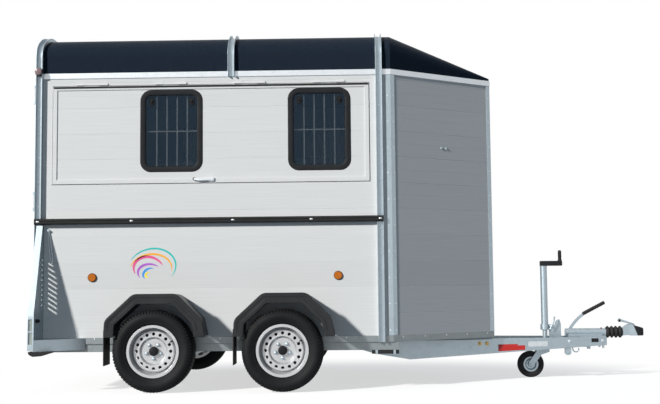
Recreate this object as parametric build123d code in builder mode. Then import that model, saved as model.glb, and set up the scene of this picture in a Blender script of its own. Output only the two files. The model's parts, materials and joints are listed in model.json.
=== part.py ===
from build123d import *
import os
from math import atan2, cos, radians, sin, tan

# Twin-axle horse trailer with a pointed nose, standing on its wheels and its jockey wheel.
# Millimetres. X points forwards, Y to the left, Z up. The origin is on the ground,
# under the middle of the whole length and width.

os.makedirs("parts", exist_ok=True)

RIGHT, LEFT = -1, 1

# Lengths along the trailer
knuckle = 9
door_hinge_out = 22
body_length = 2750
nose_length = 831
drawbar_reach = 1289
hinge_overhang = door_hinge_out + knuckle
total_length = hinge_overhang + body_length + nose_length + drawbar_reach
rear_x = hinge_overhang - total_length / 2
corner_x = rear_x + body_length
nose_x = corner_x + nose_length
tip_x = nose_x + drawbar_reach

# Widths from the centre line
body_half = 900
nose_half = 340
guard_reach = 235
guard_outer = body_half + guard_reach

# Heights above the ground
frame_low = 294
sill_low = 354
sill_top = 403
floor_top = 405
belt_low = 1270
belt_high = 1315
rail_low = 2407
rail_top = 2450
shoulder_z = 2575

# Wall panels and small clearances
wall = 30
panel_gap = 5
fit = 0.3

# Wheels and axles
tyre_radius = 307
tyre_width = 188
tyre_inset = 17
wheel_y = guard_outer - tyre_inset - tyre_width / 2
axle_spacing = 966
rear_axle_x = rear_x + 951
front_axle_x = rear_axle_x + axle_spacing
flange_radius = 196
rim_half_width = 74
seat_radius = 182
disc_y = 18
disc_metal = 6
hub_radius = 33
hub_reach = 26
vent_count = 16
vent_circle = 129
vent_radius = 12
bolt_count = 5
bolt_circle = 56
bolt_head_radius = 10
bolt_head_high = 12
drum_radius = 112
drum_depth = 66
drum_inset = 16
backplate_thick = 4
trail = 150
torsion_tube_z = 250
torsion_tube_half = 42

# Roof
roof_wall = 8
roof_side = body_half + 2
arc_one, turn_one = 120, 50
arc_two, turn_two = 400, 40
hoop_width = 50
hoop_stand = 28
hoop_metal = 4
middle_hoop_x = rear_x + 1519
front_hoop_x = corner_x - 90

# Side flap and its windows
flap_left = 130
flap_front_gap = 168
flap_right = body_length - flap_front_gap
flap_low = 1583
flap_high = 2347
flap_frame = 32
flap_proud = 6
window_width = 485
window_height = 642
window_corner = 85
window_border = 45
window_z = 1990
rear_window_in = 923
front_window_in = 384
window_xs = (rear_x + flap_left + rear_window_in, rear_x + flap_right - front_window_in)

# Rear frame, ramp and doors
post_depth = 50
post_inner = 840
ramp_hinge_z = 360
ramp_hinge_out = 10
ramp_thick = 35
door_thick = 30
header_high = 60
door_hinge_y = body_half - 30

nose_angle = atan2(body_half - nose_half, nose_length)
front_turn = radians(90) - nose_angle


def save(piece, name):
    piece.part.label = name
    export_step(piece.part, f"parts/{name}.step")


def side_plane(side, outer, thick):
    """The XZ plane that a sheet between outer and outer - thick is extruded from."""
    return Plane.XZ.offset(outer - thick if side == RIGHT else -outer)


def plan(height):
    return Plane.XY.offset(height)


def roof_outline(half, foot, shoulder, radius_one, radius_two, grow=0):
    """Closed outline across the roof: two straight sides, two arcs at each shoulder, a flat top."""
    one = (half - radius_one, shoulder)
    away = radians(90 - turn_two)
    two = (
        one[0] - (radius_two - radius_one) * cos(away),
        one[1] - (radius_two - radius_one) * sin(away),
    )
    with BuildLine() as outline:
        Line((0, foot), (half + grow, foot))
        Line((half + grow, foot), (half + grow, shoulder))
        CenterArc(one, radius_one + grow, 0, turn_one)
        CenterArc(two, radius_two + grow, turn_one, turn_two)
        Line((two[0], two[1] + radius_two + grow), (0, two[1] + radius_two + grow))
        mirror(about=Plane.YZ)
    return outline.line


def main_roof(grow=0, foot=rail_top):
    return roof_outline(roof_side, foot, shoulder_z, arc_one, arc_two, grow)


def slab(corner_a, corner_b):
    """A box between two opposite corners, added to the open part."""
    size = [abs(b - a) for a, b in zip(corner_a, corner_b)]
    middle = [(a + b) / 2 for a, b in zip(corner_a, corner_b)]
    with Locations(tuple(middle)):
        Box(*size)


# Chassis: two long members under the sills, tied by cross members
member_half_out = body_half - 10
member_wide = 50
member_wall = 5
cross_wide = 60
chassis_front = corner_x + 40
beam_top = 336
# (middle of a cross member, its underside)
cross_members = (
    (rear_x + post_depth + cross_wide / 2, frame_low + 6),
    (rear_axle_x - 250, frame_low + 6),
    (rear_axle_x + trail + 120, frame_low + 6),
    (front_axle_x + trail + 120, frame_low + 6),
    (corner_x - 290, beam_top),
    (chassis_front - 60, beam_top),
)

with BuildPart() as chassis:
    for side in (RIGHT, LEFT):
        slab(
            (rear_x + post_depth, side * (member_half_out - member_wide), frame_low),
            (chassis_front, side * member_half_out, sill_low),
        )
    for x, low in cross_members:
        slab(
            (x - cross_wide / 2, -(member_half_out - member_wide), low),
            (x + cross_wide / 2, member_half_out - member_wide, sill_low),
        )
save(chassis, "chassis")

# Sill: the folded rail round the foot of the walls, open at the ramp
sill_proud = 2
inner_corner_x = corner_x - wall * tan(nose_angle / 2)
inner_nose_y = nose_half - wall * tan(front_turn / 2)

with BuildPart() as sill:
    for side in (RIGHT, LEFT):
        with BuildSketch(plan(sill_low)):
            with BuildLine():
                Polyline(
                    (rear_x + post_depth, side * (body_half - wall)),
                    (rear_x + post_depth, side * (body_half + sill_proud)),
                    (corner_x + sill_proud * tan(nose_angle / 2), side * (body_half + sill_proud)),
                    (nose_x + sill_proud, side * (nose_half + sill_proud * tan(front_turn / 2))),
                    (nose_x + sill_proud, 0),
                    (nose_x - wall, 0),
                    (nose_x - wall, side * inner_nose_y),
                    (inner_corner_x, side * (body_half - wall)),
                    close=True,
                )
            make_face()
        extrude(amount=sill_top - sill_low)
save(sill, "sill_rail")

# Floor board inside the sill
with BuildPart() as floor:
    with BuildSketch(plan(sill_low)):
        with BuildLine():
            Polyline(
                (rear_x + post_depth, 0),
                (rear_x + post_depth, body_half - wall - fit),
                (inner_corner_x, body_half - wall - fit),
                (nose_x - wall - fit, inner_nose_y - fit),
                (nose_x - wall - fit, 0),
            )
            mirror(about=Plane.XZ)
        make_face()
    extrude(amount=floor_top - sill_low)
save(floor, "floor")

# Walls: planked sheets, split at the belt strip
belt_middle = (belt_low + belt_high) / 2
wall_end_x = inner_corner_x
wall_start_x = rear_x + post_depth
flap_hinge_y = -(body_half + 8)
flap_hinge_z = flap_high + 8
flap_knuckle = 6
flap_hinges = 4
knuckle_long = 120


def flap_knuckles(fixed):
    """Spans along X of the flap hinges' knuckles: the wall's two, or the flap's one between them."""
    pitch = (flap_right - flap_left) / flap_hinges
    spans = []
    for i in range(flap_hinges):
        middle = rear_x + flap_left + (i + 0.5) * pitch
        if fixed:
            spans.append((middle - knuckle_long, middle - knuckle_long / 2 - fit))
            spans.append((middle + knuckle_long / 2 + fit, middle + knuckle_long))
        else:
            spans.append((middle - knuckle_long / 2, middle + knuckle_long / 2))
    return spans


with BuildPart() as lower:
    for side in (RIGHT, LEFT):
        with BuildSketch(side_plane(side, body_half, wall)):
            with BuildLine():
                Polyline(
                    (wall_start_x, sill_top),
                    (wall_end_x, sill_top),
                    (wall_end_x, belt_middle),
                    (wall_start_x, belt_middle),
                    close=True,
                )
            make_face()
        extrude(amount=wall)
save(lower, "walls_lower")

for side, name in ((RIGHT, "right"), (LEFT, "left")):
    with BuildPart() as upper:
        with BuildSketch(side_plane(side, body_half, wall)):
            with BuildLine():
                Polyline(
                    (wall_start_x, belt_middle),
                    (wall_end_x, belt_middle),
                    (wall_end_x, rail_top),
                    (wall_start_x, rail_top),
                    close=True,
                )
            make_face()
            if side == RIGHT:
                with Locations((rear_x + (flap_left + flap_right) / 2, (flap_low + flap_high) / 2)):
                    Rectangle(
                        flap_right - flap_left + 2 * panel_gap,
                        flap_high - flap_low + 2 * panel_gap,
                        mode=Mode.SUBTRACT,
                    )
            else:
                with Locations(*((x, window_z) for x in window_xs)):
                    RectangleRounded(
                        window_width - window_border,
                        window_height - window_border,
                        window_corner - window_border / 2,
                        mode=Mode.SUBTRACT,
                    )
        extrude(amount=wall)
        if side == RIGHT:
            for start, end in flap_knuckles(True):
                with BuildSketch(Plane.YZ.offset(start)):
                    with Locations((flap_hinge_y, flap_hinge_z)):
                        Circle(flap_knuckle)
                extrude(amount=end - start)
                slab((start, flap_hinge_y, flap_hinge_z), (end, -body_half, flap_hinge_z + 14))
    save(upper, f"wall_{name}_upper")


# Windows: a black frame through the wall, its pane, and the guard bars behind it
pane_thick = 5
bar_wide = 10
bar_thick = 6
bar_count = 4
carrier_high = 20


def window_set(side, suffix):
    spots = [(x, window_z) for x in window_xs]
    inner_width = window_width - 2 * window_border
    inner_height = window_height - 2 * window_border
    inner_corner = window_corner - window_border
    with BuildPart() as frames:
        with BuildSketch(side_plane(side, body_half + flap_proud, flap_proud)):
            with Locations(*spots):
                RectangleRounded(window_width, window_height, window_corner)
                RectangleRounded(inner_width, inner_height, inner_corner, mode=Mode.SUBTRACT)
        extrude(amount=flap_proud)
        with BuildSketch(side_plane(side, body_half, wall)):
            with Locations(*spots):
                RectangleRounded(
                    window_width - window_border - 2 * fit,
                    window_height - window_border - 2 * fit,
                    window_corner - window_border / 2 - fit,
                )
                RectangleRounded(inner_width, inner_height, inner_corner, mode=Mode.SUBTRACT)
        extrude(amount=wall)
    save(frames, f"window_frames_{suffix}")

    with BuildPart() as panes:
        with BuildSketch(side_plane(side, body_half, pane_thick)):
            with Locations(*spots):
                RectangleRounded(inner_width - 2 * fit, inner_height - 2 * fit, inner_corner - fit)
        extrude(amount=pane_thick)
    save(panes, f"window_panes_{suffix}")

    bar_face = body_half - wall
    pitch = inner_width / (bar_count + 1)
    with BuildPart() as bars:
        with BuildSketch(side_plane(side, bar_face, bar_thick)):
            for x in window_xs:
                with Locations(
                    (x, window_z - (window_height + carrier_high) / 2),
                    (x, window_z + (window_height + carrier_high) / 2),
                ):
                    Rectangle(inner_width, carrier_high)
                with Locations((x, window_z)):
                    Rectangle(inner_width, bar_wide)
                    with GridLocations(pitch, 1, bar_count, 1):
                        Rectangle(bar_wide, window_height + carrier_high)
        extrude(amount=bar_thick)
    save(bars, f"window_bars_{suffix}")


window_set(RIGHT, "right")
window_set(LEFT, "left")

# Side flap: the large top-hinged leaf that carries the two right windows
with BuildPart() as side_flap:
    with BuildSketch(side_plane(RIGHT, body_half, wall)):
        with Locations((rear_x + (flap_left + flap_right) / 2, (flap_low + flap_high) / 2)):
            Rectangle(flap_right - flap_left, flap_high - flap_low)
        with Locations(*((x, window_z) for x in window_xs)):
            RectangleRounded(
                window_width - window_border,
                window_height - window_border,
                window_corner - window_border / 2,
                mode=Mode.SUBTRACT,
            )
    extrude(amount=wall)
    with BuildSketch(side_plane(RIGHT, body_half + flap_proud, flap_proud)):
        with Locations((rear_x + (flap_left + flap_right) / 2, (flap_low + flap_high) / 2)):
            Rectangle(flap_right - flap_left, flap_high - flap_low)
            Rectangle(
                flap_right - flap_left - 2 * flap_frame,
                flap_high - flap_low - 2 * flap_frame,
                mode=Mode.SUBTRACT,
            )
    extrude(amount=flap_proud)
    for start, end in flap_knuckles(False):
        with BuildSketch(Plane.YZ.offset(start)):
            with Locations((flap_hinge_y, flap_hinge_z)):
                Circle(flap_knuckle)
        extrude(amount=end - start)
        slab((start, flap_hinge_y, flap_high - 14), (end, -(body_half + 1), flap_hinge_z))
save(side_flap, "side_flap")

# Flap handle, a flat pull on the lower part of the flap
handle_x = rear_x + 1307
handle_z = 1608
with BuildPart() as flap_handle:
    slab(
        (handle_x - 85, -(body_half + flap_proud + fit), handle_z - 15),
        (handle_x + 85, -(body_half + flap_proud + 20), handle_z + 15),
    )
    fillet(flap_handle.edges().filter_by(Axis.Y), 12)
save(flap_handle, "flap_handle")

# Nose: two slanted side panels and the front panel, with a door in the left one
door_width = 560
door_from = 230
door_low = 440
door_high = 2280
tack_hinge_zs = (700, 1360, 2020)
tack_knuckle = 80
tack_hinge_out = 12
tack_along = door_from + door_width + panel_gap / 2
tack_pin = (
    corner_x + tack_along * cos(nose_angle) + tack_hinge_out * sin(nose_angle),
    body_half - tack_along * sin(nose_angle) + tack_hinge_out * cos(nose_angle),
)

with BuildPart() as nose_panels:
    for side in (RIGHT, LEFT):
        with BuildSketch(plan(sill_top)):
            with BuildLine():
                Polyline(
                    (inner_corner_x, side * (body_half - wall)),
                    (inner_corner_x, side * body_half),
                    (corner_x, side * body_half),
                    (nose_x, side * nose_half),
                    (nose_x - wall, side * inner_nose_y),
                    close=True,
                )
            make_face()
        extrude(amount=rail_top - sill_top)
        if side == LEFT:
            slant = Plane(
                origin=(corner_x, body_half, 0),
                x_dir=(cos(nose_angle), -sin(nose_angle), 0),
                z_dir=(-sin(nose_angle), -cos(nose_angle), 0),
            )
            with BuildSketch(slant):
                with Locations((door_from + door_width / 2, (door_low + door_high) / 2)):
                    RectangleRounded(door_width + 2 * panel_gap, door_high - door_low + 2 * panel_gap, 40)
            extrude(amount=wall * 2, both=True, mode=Mode.SUBTRACT)
            for z in tack_hinge_zs:
                for end in (-1, 1):
                    low = z + end * (tack_knuckle / 2 + fit + 12) - 12
                    with BuildSketch(plan(low)):
                        with Locations(tack_pin):
                            Circle(knuckle)
                    extrude(amount=24)
                    with BuildSketch(slant):
                        with Locations((door_from + door_width + panel_gap + 20, low + 12)):
                            Rectangle(40, 24)
                    extrude(amount=-tack_hinge_out)
save(nose_panels, "nose_panels")

with BuildPart() as tack_door:
    with BuildSketch(slant):
        with Locations((door_from + door_width / 2, (door_low + door_high) / 2)):
            RectangleRounded(door_width, door_high - door_low, 40 - panel_gap)
    extrude(amount=wall)
    for z in tack_hinge_zs:
        with BuildSketch(plan(z - tack_knuckle / 2)):
            with Locations(tack_pin):
                Circle(knuckle)
        extrude(amount=tack_knuckle)
        with BuildSketch(slant):
            with Locations((door_from + door_width - 30, z)):
                Rectangle(60, tack_knuckle)
        extrude(amount=-tack_hinge_out)
save(tack_door, "tack_door")

with BuildPart() as nose_front:
    with BuildSketch(plan(sill_top)):
        with BuildLine():
            Polyline(
                (nose_x, 0),
                (nose_x, nose_half),
                (nose_x - wall, inner_nose_y),
                (nose_x - wall, 0),
            )
            mirror(about=Plane.XZ)
        make_face()
    extrude(amount=rail_top - sill_top)
save(nose_front, "nose_front")

# Roof: a moulded shell, straight over the box and lofted down to the nose
with BuildPart() as roof_main:
    with BuildSketch(Plane.YZ.offset(rear_x)):
        with BuildLine():
            add(main_roof())
        make_face()
        with BuildLine():
            add(main_roof(-roof_wall))
        make_face(mode=Mode.SUBTRACT)
    extrude(amount=body_length)
save(roof_main, "roof_main")

tip_shoulder = rail_top + 5
tip_one, tip_two = 15, 30
inner_tip_half = nose_half + roof_wall * tan(nose_angle) - roof_wall / cos(nose_angle)
with BuildPart() as roof_nose:
    with BuildSketch(Plane.YZ.offset(corner_x)):
        with BuildLine():
            add(main_roof())
        make_face()
    with BuildSketch(Plane.YZ.offset(nose_x)):
        with BuildLine():
            add(roof_outline(nose_half, rail_top, tip_shoulder, tip_one, tip_two))
        make_face()
    loft(ruled=True)
    with BuildSketch(Plane.YZ.offset(corner_x)):
        with BuildLine():
            add(main_roof(-roof_wall))
        make_face()
    with BuildSketch(Plane.YZ.offset(nose_x - roof_wall)):
        with BuildLine():
            half = inner_tip_half + roof_wall
            add(roof_outline(half, rail_top, tip_shoulder, tip_one, tip_two, -roof_wall))
        make_face()
    loft(ruled=True, mode=Mode.SUBTRACT)
save(roof_nose, "roof_nose")

# Gable: the panel that closes the roof's rear end above the doors
gable_thick = 18
with BuildPart() as rear_gable:
    with BuildSketch(Plane.YZ.offset(rear_x + fit)):
        with BuildLine():
            add(main_roof(-roof_wall - fit))
        make_face()
    extrude(amount=gable_thick)
save(rear_gable, "rear_gable")


# Hoops: galvanised channels over the roof; the end ones run down as posts
def hoop(x, foot):
    with BuildPart() as arch:
        for start, width, high in (
            (0, hoop_width, hoop_metal),
            (0, hoop_metal, hoop_stand),
            (hoop_width - hoop_metal, hoop_metal, hoop_stand),
        ):
            with BuildSketch(Plane.YZ.offset(x - hoop_width / 2 + start)):
                with BuildLine():
                    add(main_roof(high, foot))
                make_face()
                with BuildLine():
                    add(main_roof(fit, foot))
                make_face(mode=Mode.SUBTRACT)
            extrude(amount=width)
    return arch


save(hoop(rear_x + hoop_width / 2, sill_low), "hoop_rear")
save(hoop(middle_hoop_x, rail_low), "hoop_middle")
save(hoop(front_hoop_x, sill_low), "hoop_front")

# Rear frame: posts beside the hoop legs, a header, and a sill with the ramp's and doors' knuckles
door_hinge_zs = (1454, 2290)
door_knuckle = 100
ramp_knuckles = (100, 700)
ramp_half = post_inner - panel_gap
with BuildPart() as rear_frame:
    for side in (RIGHT, LEFT):
        slab((rear_x, side * post_inner, sill_low), (rear_x + post_depth, side * body_half, rail_top))
        for z in door_hinge_zs:
            for end in (-1, 1):
                low = z + end * (door_knuckle / 2 + fit + 12) - 12
                with BuildSketch(plan(low)):
                    with Locations((rear_x - door_hinge_out, side * door_hinge_y)):
                        Circle(knuckle)
                extrude(amount=24)
                slab(
                    (rear_x - door_hinge_out, side * (door_hinge_y - 4), low),
                    (rear_x, side * (door_hinge_y + 4), low + 24),
                )
    slab((rear_x, -body_half, rail_top - header_high), (rear_x + post_depth, body_half, rail_top))
    slab((rear_x + 6, -body_half, frame_low), (rear_x + post_depth, body_half, sill_low))
    for start, end in (
        (-ramp_half, -ramp_knuckles[1] - fit),
        (-ramp_knuckles[0] + fit, ramp_knuckles[0] - fit),
        (ramp_knuckles[1] + fit, ramp_half),
    ):
        with BuildSketch(Plane.XZ.offset(-end)):
            with Locations((rear_x - ramp_hinge_out, ramp_hinge_z)):
                Circle(knuckle)
        extrude(amount=end - start)
        slab(
            (rear_x - ramp_hinge_out - knuckle, start, ramp_hinge_z - 16),
            (rear_x + 6, end, ramp_hinge_z),
        )
save(rear_frame, "rear_frame")

# Eaves rails on the side and nose walls, under the roof edge
rail_proud = 6
with BuildPart() as eaves:
    for side in (RIGHT, LEFT):
        edges = [rear_x + hoop_width + fit, middle_hoop_x - hoop_width / 2 - fit,
                 middle_hoop_x + hoop_width / 2 + fit, front_hoop_x - hoop_width / 2 - fit]
        for start, end in (edges[:2], edges[2:]):
            slab((start, side * body_half, rail_low), (end, side * (body_half + rail_proud), rail_top))
    with BuildSketch(plan(rail_low)):
        with BuildLine():
            Polyline(
                (nose_x, 0),
                (nose_x, nose_half),
                (corner_x, body_half),
                (front_hoop_x + hoop_width / 2 + fit, body_half),
                (front_hoop_x + hoop_width / 2 + fit, body_half + rail_proud),
                (corner_x + rail_proud * tan(nose_angle / 2), body_half + rail_proud),
                (nose_x + rail_proud, nose_half + rail_proud * tan(front_turn / 2)),
                (nose_x + rail_proud, 0),
            )
            mirror(about=Plane.XZ)
        make_face()
    extrude(amount=rail_top - rail_low)
save(eaves, "eaves_rails")

# Belt strip: the rubbing strip over the wall joint and the posts
strip_stand = 45
with BuildPart() as belt:
    for side in (RIGHT, LEFT):
        slab(
            (rear_x + 2, side * body_half, belt_low),
            (front_hoop_x + hoop_width / 2 - 1, side * (body_half + strip_stand), belt_high),
        )
    for x in (rear_x + hoop_width / 2, front_hoop_x):
        with Locations((x, 0, belt_middle)):
            Box(
                hoop_width + 2 * fit,
                2 * (roof_side + hoop_stand + fit),
                2 * (belt_high - belt_low),
                mode=Mode.SUBTRACT,
            )
save(belt, "belt_strips")

# Corner trims where the side walls meet the nose, and round the nose's front edges
trim_reach = 36
trim_metal = 3
with BuildPart() as corner_trims:
    for side in (RIGHT, LEFT):
        with BuildSketch(plan(sill_top + fit)):
            with BuildLine():
                Polyline(
                    (
                        nose_x - trim_reach * cos(nose_angle) + fit * sin(nose_angle),
                        side * (nose_half + trim_reach * sin(nose_angle) + fit * cos(nose_angle)),
                    ),
                    (
                        nose_x - trim_reach * cos(nose_angle) + trim_metal * sin(nose_angle),
                        side * (nose_half + trim_reach * sin(nose_angle) + trim_metal * cos(nose_angle)),
                    ),
                    (nose_x + trim_metal, side * (nose_half + trim_metal * tan(front_turn / 2))),
                    (nose_x + trim_metal, side * (nose_half - trim_reach)),
                    (nose_x + fit, side * (nose_half - trim_reach)),
                    (nose_x + fit, side * (nose_half + fit * tan(front_turn / 2))),
                    close=True,
                )
            make_face()
            with BuildLine():
                Polyline(
                    (corner_x - trim_reach, side * (body_half + fit)),
                    (corner_x - trim_reach, side * (body_half + trim_metal)),
                    (corner_x + trim_metal * tan(nose_angle / 2), side * (body_half + trim_metal)),
                    (
                        corner_x + trim_reach * cos(nose_angle) + trim_metal * sin(nose_angle),
                        side * (body_half - trim_reach * sin(nose_angle) + trim_metal * cos(nose_angle)),
                    ),
                    (
                        corner_x + trim_reach * cos(nose_angle) + fit * sin(nose_angle),
                        side * (body_half - trim_reach * sin(nose_angle) + fit * cos(nose_angle)),
                    ),
                    (corner_x + fit * tan(nose_angle / 2), side * (body_half + fit)),
                    close=True,
                )
            make_face()
        extrude(amount=rail_low - sill_top - 2 * fit)
save(corner_trims, "corner_trims")

# Ramp: the low rear gate, hinged at its foot
ramp_low = ramp_hinge_z + 6
ramp_high = belt_high - 10
with BuildPart() as ramp:
    slab((rear_x, -ramp_half, ramp_low), (rear_x + ramp_thick, ramp_half, ramp_high))
    for start, end in ((-ramp_knuckles[1], -ramp_knuckles[0]), ramp_knuckles):
        with BuildSketch(Plane.XZ.offset(-end)):
            with Locations((rear_x - ramp_hinge_out, ramp_hinge_z)):
                Circle(knuckle)
        extrude(amount=end - start)
        slab(
            (rear_x - ramp_hinge_out - 4, start, ramp_hinge_z),
            (rear_x + 5, end, ramp_low + 10),
        )
save(ramp, "ramp")

# Upper rear doors on side hinges
door_bottom = ramp_high + panel_gap
door_top = rail_top - header_high - panel_gap
for side, name in ((RIGHT, "right"), (LEFT, "left")):
    with BuildPart() as rear_door:
        slab(
            (rear_x, side * panel_gap / 2, door_bottom),
            (rear_x + door_thick, side * ramp_half, door_top),
        )
        for z in door_hinge_zs:
            with BuildSketch(plan(z - door_knuckle / 2)):
                with Locations((rear_x - door_hinge_out, side * door_hinge_y)):
                    Circle(knuckle)
            extrude(amount=door_knuckle)
            slab(
                (rear_x - door_hinge_out - 4, side * (door_hinge_y - 4), z - door_knuckle / 2),
                (rear_x - door_hinge_out + 4, side * (post_inner - 40), z + door_knuckle / 2),
            )
            slab(
                (rear_x - door_hinge_out - 4, side * (post_inner - 100), z - door_knuckle / 2),
                (rear_x, side * (post_inner - 40), z + door_knuckle / 2),
            )
    save(rear_door, f"rear_door_{name}")

# Wing plates: slotted lamp carriers outside the rear corners, with a flange and a tray each
wing_x = rear_x + 66
wing_metal = 4
wing_root = body_half + sill_proud + fit
wing_top = 1262
wing_low = 320
wing_knee = 594
wing_flange = 44
slot_width = 62
slot_height = 14
slot_pitch = 38
slot_count = 10
slot_middle_z = 828
slot_middle_y = wing_root + 60
lamp_window_height = 88
lamp_window_zs = (412, 510)
tray_length = 330
tray_top = 399
tray_wall = 86
# (across, height) up the outer edge of a wing plate
wing_edge = ((guard_outer, wing_low), (guard_outer, wing_knee), (wing_root + 36, wing_top))
with BuildPart() as wings:
    for side in (RIGHT, LEFT):
        edge = [(side * y, z) for y, z in wing_edge]
        inner_edge = [(side * (y - wing_metal), z) for y, z in wing_edge]
        with BuildSketch(Plane.YZ.offset(wing_x)):
            with BuildLine():
                Polyline((side * wing_root, wing_low), *edge, (side * wing_root, wing_top), close=True)
            make_face()
            with Locations((side * slot_middle_y, slot_middle_z)):
                with GridLocations(slot_width, slot_pitch, 1, slot_count):
                    Rectangle(slot_width, slot_height, mode=Mode.SUBTRACT)
        extrude(amount=wing_metal)
        with BuildSketch(Plane.YZ.offset(wing_x - wing_flange)):
            with BuildLine():
                Polyline(*edge, *reversed(inner_edge), close=True)
            make_face()
        extrude(amount=wing_flange)
        for z in lamp_window_zs:
            with Locations((wing_x - wing_flange / 2, side * guard_outer, z)):
                Box(wing_flange - 16, 4 * wing_metal, lamp_window_height, mode=Mode.SUBTRACT)
        with BuildSketch(plan(tray_top - wing_metal)):
            with BuildLine():
                Polyline(
                    (wing_x, side * wing_root),
                    (wing_x, side * guard_outer),
                    (wing_x + tray_length, side * wing_root),
                    close=True,
                )
            make_face()
        extrude(amount=wing_metal)
        with BuildSketch(plan(tray_top - tray_wall)):
            with BuildLine():
                Polyline(
                    (wing_x, side * (guard_outer - wing_metal)),
                    (wing_x, side * guard_outer),
                    (wing_x + tray_length, side * (wing_root + wing_metal)),
                    (wing_x + tray_length, side * wing_root),
                    close=True,
                )
            make_face()
        extrude(amount=tray_wall)
save(wings, "wing_plates")

# Rear lamps behind the wing plates, and the outline lamps at the head of the rear hoop
lamp_deep = 40
lamp_wide = 112
lamp_gap = 2
outline_lamp_radius = 28
outline_lamp_high = 22
outline_lamp_z = 2459
with BuildPart() as lamps:
    for side in (RIGHT, LEFT):
        slab(
            (wing_x - lamp_deep, side * (guard_outer - wing_metal - lamp_gap - lamp_wide), wing_low + 14),
            (wing_x - fit, side * (guard_outer - wing_metal - lamp_gap), wing_knee),
        )
    fillet(lamps.edges().filter_by(Axis.X), 12)
    for side in (RIGHT, LEFT):
        face = roof_side + hoop_stand + outline_lamp_high
        with BuildSketch(side_plane(side, face, outline_lamp_high - fit)):
            with Locations((rear_x + hoop_width / 2, outline_lamp_z)):
                Circle(outline_lamp_radius)
        extrude(amount=outline_lamp_high - fit)
save(lamps, "rear_lamps")

# Mudguards: faceted arches; each point is (forward of the axle, height)
guard_metal = 4
guard_lip = 65
guard_round = 72
guard_end_trim = 200
guard_outline = (
    (-358, 418), (-350, 540), (-142, 730), (182, 730), (362, 548), (388, 425),
)
guard_inner = body_half + fit


def guard_face(axle_x, inset):
    with BuildSketch() as face:
        with BuildLine():
            Polyline(
                *((axle_x + x, z) for x, z in guard_outline),
                (axle_x + guard_outline[-1][0], guard_outline[-1][1] - guard_end_trim),
                (axle_x + guard_outline[0][0], guard_outline[0][1] - guard_end_trim),
                close=True,
            )
        make_face()
        corners = face.vertices().filter_by(lambda v: v.Y > guard_outline[1][1] - 20)
        fillet(corners, guard_round)
        if inset:
            offset(amount=-inset, kind=Kind.INTERSECTION, mode=Mode.REPLACE)
    return face.sketch


with BuildPart() as guards:
    for side in (RIGHT, LEFT):
        for axle_x in (rear_axle_x, front_axle_x):
            for outer, thick, band in (
                (guard_outer - guard_metal, guard_outer - 2 * guard_metal - guard_inner, guard_metal),
                (guard_outer, guard_metal, guard_lip),
                (guard_inner + guard_metal, guard_metal, guard_lip),
            ):
                with BuildSketch(side_plane(side, outer, thick)):
                    add(guard_face(axle_x, 0))
                    add(guard_face(axle_x, band), mode=Mode.SUBTRACT)
                extrude(amount=thick)
            middle_y = side * (guard_outer + guard_inner) / 2
            with Locations((axle_x, middle_y, guard_outline[0][1] - guard_end_trim / 2)):
                Box(2 * guard_outline[-1][0] + 100, 2 * guard_reach, guard_end_trim, mode=Mode.SUBTRACT)
save(guards, "mudguards")

flap_thick = 8
mud_flap_low = 204
mud_flap_top = 470
with BuildPart() as mud_flaps:
    for side in (RIGHT, LEFT):
        for axle_x in (rear_axle_x, front_axle_x):
            slab(
                (axle_x + guard_outline[0][0] - flap_thick - fit, side * (guard_inner + 22), mud_flap_low),
                (axle_x + guard_outline[0][0] - fit, side * (guard_outer - 20), mud_flap_top),
            )
save(mud_flaps, "mud_flaps")


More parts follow.
